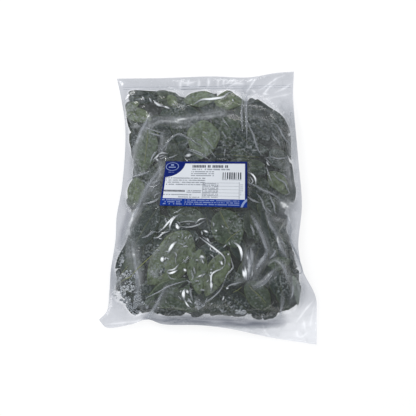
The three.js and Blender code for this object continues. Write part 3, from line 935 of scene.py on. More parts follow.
# %% Hidden leaves first, then the ones that show
draw = np.random.default_rng(5)
solids = []
while len(solids) < UNDER_LEAVES:
    x0, y0 = draw.uniform(-115, 115), draw.uniform(-140, 150)
    heading, length = draw.uniform(0, 2 * np.pi), draw.uniform(34, 58)
    x1, y1 = x0 + length * np.cos(heading), y0 + length * np.sin(heading)
    tone, wide = draw.uniform(0.0, 0.32), draw.uniform(0.42, 0.56)
    if min(sample(leaf_room, x0, y0), sample(leaf_room, x1, y1)) > UNDER_LEAF_ROOM:
        solids.append(lay_leaf(x0, y0, x1, y1, wide * length, tone, len(solids), len(solids) % 4 == 0))
for order, entry in enumerate(FRONT_LEAVES + LEAF_SCRAPS):
    solids.append(lay_leaf(*entry, order))
points, triangles, uv, tones = join(solids)
front_leaves = make_piece("front_leaves", points, triangles, leaf, uv, tone=tones)
print("they reach", round(ground.max(), 1), "mm, the pillow", round(pillow_top.max(), 1))

# %% [markdown]
# ## The film
#
# The film is one closed bag: an upper wall, a lower wall and a rim that joins them. Cloth
# simulation could lay the upper wall, but a membrane is quicker and does the same here. It
# starts above the leaves, each point moves to the mean of its neighbours and a little down, and
# it may not go below the leaves. After some two hundred rounds it clings to the high leaves and
# spans the dips, as a slack film does. A last smoothing lets it cut small corners.

# %% The film's points in plan
WALL_RATIO = 4
FILM_COLUMNS = WALL_RATIO * 66 + 1
FILM_ROWS = WALL_RATIO * 84 + 1
MEAN_WIDTH, MEAN_LENGTH = 225, 320

u, v = np.meshgrid(np.linspace(0, 1, FILM_COLUMNS), np.linspace(0, 1, FILM_ROWS))
plan = bag_plan(u, v)
fx, fy = plan[..., 0], plan[..., 1]
rim = np.minimum(np.minimum(u, 1 - u) * MEAN_WIDTH, np.minimum(v, 1 - v) * MEAN_LENGTH)
print("the film's upper wall has", fx.size, "points")

# %% Membrane over the leaves
FILM_CLEARANCE = 0.35
FILM_PULL = 0.012
FILM_ROUNDS = 220
FILM_STIFFNESS = 20
FILM_GIVE = 0.8

peak = ground.copy()
for dy in (-1, 0, 1):
    for dx in (-1, 0, 1):
        peak = np.maximum(peak, np.roll(ground, (dy, dx), (0, 1)))
for _ in range(8):
    peak = (peak + neighbours(peak)) / 5
wall = flange + 0.3 + 0.5 * ease(-inside, 0, 8)
obstacle = sample(np.where(inside > -1, np.maximum(peak + FILM_CLEARANCE, wall), wall), fx, fy)
z = np.maximum(obstacle, sample(np.where(inside > 0, pillow_top - 1.5, wall), fx, fy))
for _ in range(FILM_ROUNDS):
    z = np.maximum(obstacle, neighbours(z) / 4 - FILM_PULL)
    z[0], z[-1], z[:, 0], z[:, -1] = obstacle[0], obstacle[-1], obstacle[:, 0], obstacle[:, -1]
for _ in range(FILM_STIFFNESS):
    z = np.maximum((2 * z + neighbours(z)) / 6, obstacle - FILM_GIVE)
gap = z - sample(ground, fx, fy)
print("film stands off the leaves by", round(float(np.median(gap[sample(inside, fx, fy) > 5])), 2), "mm")

# %% [markdown]
# ## Creases in the film
#
# Film that was packed, frozen and thawed a little is full of sharp creases, and each one
# catches light. Noise alone would give the right number but never the right places, and the eye
# knows this bag by the hook-shaped creases below its label. So the long creases are drawn as
# paths, the small ones are drawn at random, and each raises a crest on the membrane and paints
# a highlight on it. Those in the empty film stand over white paper, so they are painted as
# glints that glow instead.

# %% Paths of the creases, each a width in millimetres, how bright its painted highlight is, and a run of points
CREASES = [
    # round and below the label's lower left corner
    (1.6, 0.9, [(-36, -8), (-44, -12), (-50, -18), (-57, -26), (-63, -31)]),
    (1.8, 0.9, [(-38, -9), (-45, -15), (-48, -22), (-48, -28)]),
    (1.5, 0.8, [(-48, -29), (-57, -32), (-63, -37), (-70, -38)]),
    (1.4, 0.45, [(-63, -31), (-70, -30), (-78, -36), (-85, -38)]),
    (2.8, 0.95, [(-40, -19), (-38, -25), (-35, -23)]),
    (1.2, 0.6, [(-38, -19), (-30, -17), (-18, -17), (-14, -19)]),
    (1.3, 0.7, [(-36, -23), (-26, -24), (-18, -23), (-10, -20), (-4, -16)]),
    (1.3, 0.8, [(-16, -20), (-10, -14), (-2, -13)]),
    (1.2, 0.5, [(-28, -20), (-22, -20)]),
    (1.6, 0.55, [(-80, 6), (-73, 7), (-66, 10), (-60, 15)]),
    (1.4, 0.5, [(-69, 12), (-66, 17), (-60, 20)]),
    (1.3, 0.4, [(-44, -7), (-38, -4), (-33, 0)]),
    # below the label's middle
    (2.6, 0.95, [(2.5, -16), (3.5, -17)]),
    (1.8, 0.9, [(-6, -28), (1, -31)]),
    (2.0, 0.9, [(9, -28), (12, -29)]),
    (1.7, 0.85, [(-12, -36), (-5, -41), (3, -47), (12, -54), (19, -60), (22, -66), (21, -73)]),
    (1.7, 0.85, [(21, -73), (17, -77), (10, -80), (5, -84), (4, -92), (4.5, -100), (3.5, -108)]),
    (2.4, 0.9, [(4.5, -80), (4, -84)]),
    (2.2, 0.9, [(4, -91), (4.5, -100), (4, -104)]),
    (1.3, 0.6, [(-7, -36), (0, -41), (6, -47)]),
    (2.6, 0.85, [(-10, -64), (-8, -61), (-4, -64)]),
    (1.2, 0.6, [(2, -58), (5, -60), (9, -64)]),
    (1.8, 0.9, [(17, -66), (18, -71), (20, -72)]),
    (2.4, 0.95, [(32, -43), (37, -46), (41, -51), (43, -60), (42.5, -67)]),
    (2.6, 0.95, [(44, -77), (46, -84), (47, -90)]),
    (1.8, 0.7, [(52, -62), (54, -72)]),
    (2.2, 0.8, [(25, -57), (27, -60)]),
    (1.4, 0.6, [(29, -62), (31, -70), (32, -75), (30, -78), (24, -85), (21, -93)]),
    (1.4, 0.6, [(21, -93), (17, -102), (9, -111), (-2, -119), (-8, -124)]),
    (1.8, 0.5, [(26, -69), (28, -74)]),
    (1.5, 0.6, [(24, -103), (26, -99), (30, -97), (38, -95), (45, -93)]),
    (2.4, 0.95, [(24.5, -103), (25, -100)]),
    (1.6, 0.8, [(-14, -88), (-10, -86), (-6, -84)]),
    (1.2, 0.6, [(-12, -97), (-9, -95)]),
    # lower left
    (2.6, 0.95, [(-39, -42), (-44, -46), (-48, -52), (-51, -58)]),
    (3.2, 0.95, [(-56, -61), (-58, -65), (-57, -69)]),
    (1.8, 0.8, [(-55, -66), (-53, -62)]),
    (1.6, 0.8, [(-52, -82), (-50, -79), (-44, -78), (-39, -74), (-37, -71)]),
    (2.0, 0.95, [(-52, -81), (-49, -82.5), (-43, -81), (-38, -78)]),
    (1.3, 0.5, [(-51, -84), (-47, -89), (-40, -90)]),
    (2.4, 0.95, [(-31, -77), (-27, -80)]),
    (1.2, 0.45, [(-33, -70), (-28, -66), (-22, -62)]),
    (1.2, 0.4, [(-40, -60), (-41, -66), (-40, -71)]),
    (1.5, 0.6, [(-18, -74), (-16, -84)]),
    (1.8, 0.45, [(-21, -78), (-19, -88), (-20, -92)]),
    (1.4, 0.5, [(-80, -115), (-70, -110), (-60, -105), (-52, -100), (-44, -97), (-24, -91)]),
    (3.0, 0.95, [(-29, -102), (-31, -108), (-30, -116)]),
    (1.6, 0.9, [(-30, -116), (-26, -123), (-22, -127)]),
    (2.4, 0.9, [(-27, -103), (-25, -109)]),
    (1.4, 0.8, [(-26, -114), (-22, -119), (-19, -122)]),
    # lower right
    (2.4, 0.9, [(96, -87), (96, -89)]),
    (1.2, 0.5, [(83, -91), (88, -86)]),
    (1.4, 0.6, [
        (102, -10), (103, -32), (107, -45), (112, -56), (116, -66), (120, -76), (120, -82), (114, -84),
        (106, -77),
    ]),
    (1.5, 0.5, [(92, -40), (96, -44), (99, -48)]),
    (2.0, 0.5, [(86, -53), (83, -60), (78, -64)]),
    (1.6, 0.8, [(50, -136), (57, -136)]),
    (1.8, 0.6, [(40, -133), (46, -131)]),
    (1.3, 0.6, [(71, -136), (69, -138), (71, -141)]),
    (1.2, 0.5, [(15, -126), (16, -130)]),
    # upper left
    (2.4, 0.8, [(-69, 137), (-64, 132), (-56, 129)]),
    (2.2, 0.9, [(-18, 132), (-8, 138), (5, 139), (20, 142), (26, 147), (31, 148)]),
    (1.2, 0.6, [(-46, 133), (-41, 130)]),
    (2.5, 0.9, [(-36, 126), (-35, 126)]),
    (1.6, 0.9, [(-67, 149.5), (-65, 149.5)]),
    (1.8, 0.8, [(-57, 130), (-52, 128), (-48, 126)]),
    (1.3, 0.7, [(-84, 143), (-80, 137)]),
    (1.3, 0.7, [(-75, 141), (-71, 134)]),
    (1.6, 0.8, [(-70, 61), (-64, 66), (-60, 71)]),
    (1.4, 0.75, [(-65, 67), (-58, 70), (-50, 69)]),
    (1.2, 0.6, [(-61, 62), (-52, 66)]),
    (1.2, 0.6, [(-63, 65), (-54, 68)]),
    (1.5, 0.8, [(-67, 64), (-62, 59)]),
    (1.4, 0.4, [(-64, 73), (-70, 66), (-73, 58)]),
    (1.2, 0.5, [(-52, 63), (-45, 65), (-38, 68)]),
    (3.0, 0.8, [(-29, 66), (-20, 68)]),
    (1.5, 0.8, [(-28, 62), (-25, 59)]),
    (1.2, 0.4, [(-30, 80), (-24, 84)]),
    (1.3, 0.4, [(-28, 76), (-20, 74), (-10, 70), (0, 64)]),
    # upper right
    (1.2, 0.4, [(-8, 92), (0, 84), (5, 78)]),
    (1.2, 0.4, [(-8, 97), (-4, 96), (0, 93)]),
    (1.1, 0.35, [(-3, 88), (8, 75)]),
    (1.1, 0.35, [(2, 75), (10, 64)]),
    (1.6, 0.7, [(27, 138), (28, 137)]),
    (1.4, 0.7, [(31, 140), (33, 135)]),
    (1.2, 0.4, [(17, 115), (27, 103)]),
    (1.2, 0.35, [(18, 98), (24, 88)]),
    (1.2, 0.4, [(22, 76), (21, 65)]),
    (1.7, 0.9, [(50, 46), (56, 43), (60, 38), (61, 29)]),
    (1.2, 0.7, [(50, 40), (55, 38), (57, 34), (54, 31), (50, 33)]),
    (1.4, 0.8, [(74, 60), (77, 55), (79, 54)]),
    (1.4, 0.7, [(105, 118), (107, 123)]),
    # the silvery fold at the lower right, and glints on it
    (2.2, 0.9, [(47, -72), (48, -82), (49, -92)]),
    (3.0, 0.6, [(54, -50), (56, -62), (55, -74)]),
    (1.6, 0.8, [(50, -58), (51, -68)]),
    (1.4, 0.7, [(57, -78), (56, -88)]),
]
WRINKLES = [
    # in the empty film past the leaves, painted as glints
    (1.2, 0.4, [(67, 141), (75, 139), (85, 142), (100, 145), (108, 148)]),
    (1.2, 0.8, [(56, 151), (61, 148)]),
    (1.2, 0.8, [(70, 147), (78, 145)]),
    (1.6, 0.5, [(50, 161), (58, 166)]),
    (1.4, 0.6, [(22, 158), (30, 163), (38, 162)]),
    (1.4, 0.6, [(28, 156), (36, 160), (46, 159)]),
    (1.4, 0.5, [(-40, 162), (-25, 160), (-12, 163)]),
    (1.4, 0.6, [(49, 148), (56, 158), (62, 167)]),
    (1.2, 0.6, [(71, 146), (77, 153), (86, 160)]),
    (1.2, 0.5, [(86, 148), (97, 153), (107, 160)]),
    (1.0, 0.5, [(64, 150), (74, 156), (88, 166), (98, 170)]),
    (2.2, 0.5, [(-35, 154), (-35, 159), (-34, 164)]),
    (1.8, 0.4, [(-25, 155), (-26, 160), (-25, 165)]),
    (2.2, 0.4, [(-12, 154), (-11, 160), (-12, 165)]),
    (1.8, 0.5, [(0, 155), (1, 161), (0, 166)]),
    (1.8, 0.4, [(13, 155), (13, 160), (14, 165)]),
    (2.0, 0.5, [(21, 154), (20, 160), (21, 166)]),
    (1.8, 0.4, [(29, 155), (30, 161), (29, 166)]),
    (1.2, 0.5, [(135, -118), (124, -131), (113, -146)]),
    (1.2, 0.35, [(136, -125), (133, -139), (131, -152)]),
    (1.2, 0.4, [(122, -142), (125, -157)]),
    (1.3, 0.4, [(114, -155), (115, -163), (119, -165), (128, -159)]),
    (1.2, 0.35, [(70, -149), (74, -159), (81, -165)]),
    (1.0, 0.4, [(-106, -126), (-93, -137), (-72, -129)]),
    (1.0, 0.4, [(-78, -141), (-70, -129)]),
    (1.0, 0.4, [(-133, -149), (-112, -147), (-89, -144), (-78, -141)]),
]
print(len(CREASES), "creases and", len(WRINKLES), "wrinkles are drawn")

# %% Tools that raise and paint a crease
CREASE_HEIGHT = 0.4
NARROWEST_CREST = 1.8

# Crest heights, the creases' painted highlights, and the wrinkles' painted glints.
crease_lift = np.zeros(fx.shape)
crease_highlight = np.zeros(fx.shape)
glint = np.zeros(fx.shape)


def near_path(path, reach):
    """The film's points near a path: which, how far to its right (left is below 0) and along."""
    path = smooth_curve(path, steps=6)
    low, high = path.min(0) - reach, path.max(0) + reach
    near = (fx > low[0]) & (fx < high[0]) & (fy > low[1]) & (fy < high[1])
    x, y = fx[near], fy[near]
    nearest, share, side = np.full(x.shape, np.inf), np.zeros(x.shape), np.ones(x.shape)
    for number, (a, b) in enumerate(zip(path, path[1:])):
        d, t = to_segment(a, b, x, y)
        right = np.sign((x - a[0]) * (b[1] - a[1]) - (y - a[1]) * (b[0] - a[0]))
        share = np.where(d < nearest, (number + t) / (len(path) - 1), share)
        side = np.where(d < nearest, right, side)
        nearest = np.minimum(nearest, d)
    return near, side * nearest, share


def arch_of(share):
    """High along the middle of a path and low at its ends."""
    return np.sin(np.pi * (0.08 + 0.84 * share))


def press_crease(width, highlight, path, height=CREASE_HEIGHT, field=crease_highlight):
    """Raises a sharp crest along a path of the film and paints a highlight on it, less towards its ends."""
    near, d, share = near_path(path, 7)
    arch = arch_of(share)
    crest = arch * np.exp(-((d / max(width, NARROWEST_CREST)) ** 2))
    crease_lift[near] = np.maximum(crease_lift[near], height * width * crest)
    line = np.exp(-((d / (0.8 * width * arch**0.6)) ** 2))
    field[near] = np.maximum(field[near], highlight * arch**0.5 * line)


# %% Raise and paint the creases
WRINKLE_HEIGHT = 0.2
CREASE_GLOW = 0.35
SMALL_CREASES = 420
GLINTS = 70


def random_bow(draw, low, high, shortest, longest):
    """Three points of a slightly bowed line that starts somewhere between two corners."""
    start = draw.uniform(low, high)
    heading, length = draw.uniform(0, np.pi), draw.uniform(shortest, longest)
    bow = draw.uniform(-0.2, 0.2)
    run = np.array([np.cos(heading), np.sin(heading)])
    middle = start + run * length / 2 + np.array([-run[1], run[0]]) * bow * length
    return [start, middle, start + run * length]


# Short glints where the film is tightest, and many faint creases, have no place of their own.
draw = np.random.default_rng(21)
for _ in range(GLINTS):
    path = random_bow(draw, (-62, -128), (36, -14), 2.5, 8)
    CREASES.append((draw.uniform(0.9, 1.7), draw.uniform(0.45, 0.85), path))
# Each crease paints a highlight on the film, and each wrinkle a glint.
for width, highlight, path in CREASES:
    press_crease(width, CREASE_GLOW * highlight, path)
for width, highlight, path in WRINKLES:
    press_crease(width, highlight, path, WRINKLE_HEIGHT, glint)
for _ in range(SMALL_CREASES):
    path = random_bow(draw, (-112, -150), (112, 172), 6, 22)
    width, highlight = draw.uniform(0.6, 1.1), CREASE_GLOW * draw.uniform(0, 0.3)
    press_crease(width, highlight, path, draw.uniform(0.15, 0.45))
print("the highest crest is", round(crease_lift.max(), 2), "mm")

# %% [markdown]
# ## Haze, shade and frost on the film
#
# Between the creases the film is clear where it touches a leaf, milky where it stands off or
# lies double, and dotted with frost inside. It is darker along its margins and below the heap,
# partly by a grey tint and partly by painted shade, and broad faint strokes paint a sheen on
# some leaves. A texture could show that, but it wouldn't follow the folds. Here three values are
# worked out for every point of the film, from the gap under it, from soft random waves and from
# strokes along paths, and the film's material mixes them.

# %% Strokes and zones
HAZE_AND_SHEEN_BANDS = [
    # a width in millimetres, how milky the film is at most, and a run of points
    (7, 0.60, [(-73, 119), (-77, 110), (-81, 103), (-88, 88), (-95, 69), (-97, 58)]),
    (8, 0.60, [(-74, 100), (-69, 107), (-58, 111), (-44, 110), (-29, 112), (-15, 115), (0, 117), (20, 121)]),
    (7, 0.40, [(-45, 104), (-30, 104), (-16, 108)]),
    (6, 0.45, [(-97, 105), (-87, 104)]),
    (9, 0.45, [(-56, 95), (-57, 84), (-60, 71)]),
    (4, 0.40, [(-103, 125), (-90, 127)]),
    (12, 0.45, [(47, 150), (47, 142)]),
    (5, 0.40, [(47, 142), (48, 120)]),
    (8, 0.30, [(0, 118), (20, 119), (40, 121)]),
    (6, 0.25, [(53, 113), (60, 117), (68, 114), (80, 109)]),
    (13, 0.50, [(96, 130), (104, 112), (107, 95), (108, 72)]),
    (6, 0.25, [(76, 126), (83, 120), (88, 115)]),
    (9, 0.55, [(-62, 60), (-60, 50), (-65, 43), (-72, 34), (-78, 25), (-84, 12), (-90, 0), (-96, -12)]),
    (9, 0.50, [(-92, -5), (-98, -18), (-104, -32), (-110, -46)]),
    (5, 0.40, [(-60, 58), (-60, 46), (-62, 38)]),
    (14, 0.25, [(-68, 25), (-66, 12)]),
    (5, 0.40, [(-95, 41), (-78, 46)]),
    (13, 0.50, [(104, 62), (105, 45), (106, 33), (108, 20)]),
    (13, 0.75, [(93, 10), (99, 5), (106, 0)]),
    (8, 0.60, [(104, -5), (105, -20), (106, -32)]),
    (9, 0.40, [(84, -12), (94, -14)]),
    (8, 0.58, [(-95, -44), (-94, -57), (-92, -70), (-89, -87), (-90, -105), (-92, -120)]),
    (7, 0.60, [(-52, -99), (-58, -110), (-64, -121), (-70, -131), (-79, -142)]),
    (14, 0.38, [(-99, -46), (-99, -60), (-96, -78)]),
    (6, 0.35, [(-55, -46), (-62, -53), (-70, -62), (-76, -68)]),
    (9, 0.55, [(-71, -79), (-66, -86)]),
    (12, 0.40, [(-112, -84), (-112, -96)]),
    (8, 0.35, [(-118, -80), (-119, -100), (-119, -112)]),
    (16, 0.30, [(-84, -120), (-80, -128)]),
    (16, 0.48, [(50, -52), (52, -70), (50, -90)]),
    (6, 0.55, [(51, -60), (53, -72), (50, -88)]),
    (9, 0.55, [(-13, -116), (-12, -128)]),
    (8, 0.45, [(116, -95), (118, -110), (115, -122)]),
    (8, 0.35, [(112, -60), (114, -80)]),
    (8, 0.30, [(45, -93), (35, -90)]),
    (7, 0.62, [(57, -10), (66, -29), (72, -44), (77, -57)]),
    (8, 0.58, [(77, -55), (70, -66), (63, -75), (59, -85)]),
    (6, 0.72, [(75, -6), (79, -20), (87, -33), (92, -49), (98, -61)]),
    (5, 0.70, [(76, -70), (85, -66), (92, -70), (98, -79), (102, -93)]),
    (8, 0.60, [(90, -76), (77, -86), (66, -95), (58, -99)]),
    (11, 0.45, [(109, -90), (109, -105), (105, -122)]),
    (5, 0.45, [(95, -108), (94, -125), (92, -141)]),
    (4, 0.50, [(100, -15), (95, -23), (90, -31)]),
    (4, 0.40, [(-70, -146), (-40, -148), (0, -149), (40, -152), (88, -152)]),
    (7, 0.35, [(-50, -139), (-20, -140), (30, -140), (70, -143), (98, -138)]),
    # broad faint strokes that paint a sheen on the leaves below the label
    (17, 0.22, [(-38, -36), (-47, -50), (-57, -68)]),
    (12, 0.18, [(1, -86), (3, -98), (0, -108)]),
    (11, 0.16, [(-48, -104), (-34, -112), (-24, -122)]),
    (16, 0.14, [(-30, -12), (-12, -18), (6, -22)]),
]
SHADE_BANDS = [
    # the same, but how much painted shade darkens the film
    (11, 0.95, [(-79, -139), (-60, -143), (-40, -144), (0, -145), (40, -147), (70, -148), (95, -147)]),
    (10, 0.45, [(-98, 8), (-101, -8), (-106, -22), (-110, -38), (-112, -48)]),
    (8, 0.35, [(-121, -70), (-122, -95), (-120, -116)]),
]
GRAIN_ZONES = [
    # middle, reach across and along, and how strong the grain is
    (-92, 115, 14, 9, 0.5), (23, 84, 8, 26, 0.45), (50, 77, 22, 14, 0.45), (34, -18, 14, 16, 0.4),
    (-104, -112, 13, 22, 0.2), (-112, -88, 8, 12, 0.3), (-66, -84, 9, 8, 0.5), (-88, 52, 10, 12, 0.35),
    (-95, 22, 7, 16, 0.35), (-40, 98, 18, 9, 0.3), (0, 110, 40, 6, 0.3),
    (-113, -62, 6, 13, 0.6), (-35, 90, 22, 12, 0.25),
]
print(len(HAZE_AND_SHEEN_BANDS), "milky strokes,", len(SHADE_BANDS), "dark ones,", len(GRAIN_ZONES), "frosted zones")


# %% Strokes and crumpled film, as tools
def paint(field, width, strength, path):
    """Lays a threaded stroke over a field, crisp to the path's right and soft to its left."""
    near, d, share = near_path(path, 1.6 * width)
    length = np.linalg.norm(np.diff(path, axis=0), axis=1).sum()
    fall = np.where(d > 0, (d / (0.45 * width)) ** 4, (d / (0.75 * width)) ** 2)
    threads = 0.85 + 0.4 * waves(d, share * length / 9, 1.5, 62)
    stroke = strength * arch_of(share) ** 0.5 * threads * np.exp(-fall)
    field[near] = 1 - (1 - field[near]) * (1 - stroke)


def crumple(x, y, size, seed):
    """A network of sharp crests, as in film that was crushed and let go."""
    shift, shove = (0.5 * size * waves(x, y, 1.6 * size, seed + step) for step in (1, 2))
    return (1 - np.abs(waves(x + shift, y + shove, size, seed))) ** 5


# %% The upper wall with its crests, flat under the label
LABEL_BED = 0.35
CRUMPLE_LIFT = 0.2

inside_film = sample(inside, fx, fy)
over_leaves = sample(leaf_room, fx, fy)
on_heap = ease(inside_film, 0, 12)
network = 0.7 * crumple(fx, fy, 17, 31) + 0.25 * crumple(fx, fy, 8, 41)
away_from_label = 1 - sample(label_zone, fx, fy)
corner_wrinkles = (1 - on_heap) * ease(-fy, 100, 150) + 0.5 * (1 - on_heap) * ease(fy, 140, 160)
lift = (crease_lift + network * (CRUMPLE_LIFT + 0.5 * corner_wrinkles)) * away_from_label * ease(rim, 1, 6)
label_bed = sample(pillow_top, fx, fy) + LABEL_BED
top = z + lift
top = top + (label_bed - top) * (1 - away_from_label)
print("the film reaches", round(top.max(), 1), "mm")

# %% How milky the film is, before the strokes
GAP_HAZE, NETWORK_HAZE, CLOUD_HAZE, FLECK_HAZE = 0.12, 0.06, 0.05, 0.03
UPPER_RIGHT_HAZE, RIM_HAZE, CORNER_HAZE = 0.05, 0.35, 0.10

haze = GAP_HAZE * ease(gap, 0.9, 5.5) * on_heap + NETWORK_HAZE * network * on_heap
haze = haze + CLOUD_HAZE * ease(waves(fx, fy, 24, 51), -0.1, 0.8)
haze = haze + FLECK_HAZE * ease(waves(fx, fy, 7, 52), 0.1, 0.9)
haze = haze + UPPER_RIGHT_HAZE * ease(fx, 30, 70) * ease(fy, 40, 80) * on_heap
# The film lies tightest on the lower half, and most of all at its right.
haze = haze * (1 - (0.45 + 0.35 * ease(fx, 10, 50)) * ease(-fy, 0, 45))
# A milky seam runs round the heap's rim. It fades at the top right and along the bottom.
rim_haze = np.exp(-((over_leaves / 5) ** 2)) * ease(waves(fx, fy, 26, 57), -0.5, 0.4)
rim_haze = rim_haze * ease(-fy - 0.4 * fx, -150, -90) * ease(fy, -120, -90)
haze = haze + RIM_HAZE * rim_haze + CORNER_HAZE * corner_wrinkles * network
print("haze without strokes:", round(float(haze.mean()), 3), "on average")

# %% Strokes over it, and the creases over them
MOST_STROKE, MOST_HAZE = 0.9, 0.95

strokes = np.zeros(fx.shape)
for width, strength, path in HAZE_AND_SHEEN_BANDS:
    paint(strokes, width, strength, path)
streaks = crumple(fx, fy, 5, 55)
strokes = strokes * (0.9 + 0.2 * waves(fx, fy, 6, 53) + 0.3 * streaks)
haze = 1 - (1 - haze) * (1 - np.clip(strokes, 0, MOST_STROKE))
# The creases' painted highlights go into the same value.
haze = np.clip(np.maximum(haze, crease_highlight * away_from_label), 0, MOST_HAZE)
print("haze with them:", round(float(haze.mean()), 3), "on average")

# %% How dark the film is, partly by a grey tint and partly by painted shade, and how frosted
MARGIN_SHADE = 0.33

margin = 1 - ease(over_leaves, -2, 1)
pale_corners = ease(-fy, 90, 150) * ease(fx, 60, 105)
pale_corners = pale_corners + ease(fy, 100, 140) * (0.25 + 0.25 * ease(fx, 50, 90))
shade = margin * (MARGIN_SHADE - 0.15 * ease(-fy, 105, 150) - 0.16 * pale_corners)
shade = np.maximum(shade, 0)
for width, strength, path in SHADE_BANDS:
    paint(shade, width, strength, path)
grain = 0.02 + 0.10 * ease(waves(fx, fy, 19, 54), -0.1, 0.7)
grain = grain * (1 - 0.6 * ease(-fy, 0, 45))
grain = on_heap * (grain + 0.16 * ease(fy, -10, 60) * ease(waves(fx, fy, 13, 58), -0.7, 0.4))
for px, py, rx, ry, strength in GRAIN_ZONES:
    spot = np.hypot((fx - px) / rx, (fy - py) / ry) + 0.25 * waves(fx, fy, 6, 61)
    grain = np.maximum(grain, strength * (1 - ease(spot, 0.6, 1.2)))
for name, field in (("shade", shade), ("grain", grain), ("glint", glint)):
    print(name, "is", round(float(field.mean()), 3), "on average")

# %% Close the bag
PUFF = 0.9
LOWEST = 0.2
LEAST_WALL = 0.2
SEAM_HALF = 0.12

wall_low = sample(np.where(inside > 0, pillow_bottom - 0.25, flange - 0.3), fx, fy)
outside = 1 - ease(inside_film, -3, 3)
puff = PUFF * ease(rim, 0, 7) * outside * (0.6 + 0.4 * waves(fx, fy, 22, 71))
bottom = wall_low - np.minimum(puff, wall_low - LOWEST)
pinch = 1 - ease(rim, 0, 3)
seam = sample(flange, fx, fy)
top = top + puff
top = top + (seam + SEAM_HALF - top) * pinch
bottom = np.minimum(bottom + (seam - SEAM_HALF - bottom) * pinch, top - LEAST_WALL)
film_points, film_triangles = closed_grid(
    np.stack([fx, fy, top], -1), np.stack([fx, fy, bottom], -1)[::WALL_RATIO, ::WALL_RATIO], WALL_RATIO
)


def both_walls(values):
    """A value of the upper wall's points, and the same for the coarser lower wall."""
    return np.concatenate([values.ravel(), values[::WALL_RATIO, ::WALL_RATIO].ravel()])


film_bag = make_piece(
    "film_bag", film_points, film_triangles, film,
    haze=both_walls(haze), shade=both_walls(shade), grain=both_walls(grain), glint=both_walls(glint),
)

# %% The film's height, for what lies on it
film_height = np.full(X.shape, -1.0)
column = np.clip(np.rint(fx - xs[0]).astype(int), 0, len(xs) - 1)
row = np.clip(np.rint(fy - ys[0]).astype(int), 0, len(ys) - 1)
np.maximum.at(film_height, (row, column), top)
for _ in range(3):
    beside = [np.roll(film_height, shift, axis) for shift in (-1, 1) for axis in (0, 1)]
    film_height = np.where(film_height < 0, np.maximum.reduce(beside), film_height)
print("cells without film:", int((film_height < 0).sum()))

# %% [markdown]
# ## Folds that stand on the film
#
# Where the film has too much room it lies in folds, doubled on itself, and these show as soft
# grey lines. They could be modelled in the film's own mesh, but it would need many more points.
# Each follows a path over the leaves, which is what Curve to Mesh is for: the tree turns every
# path into a curve, gives it its own width that fades at both ends, and sweeps a flat oval along
# it. The sharp creases get a thin bead of painted highlight on their crests in the same way.

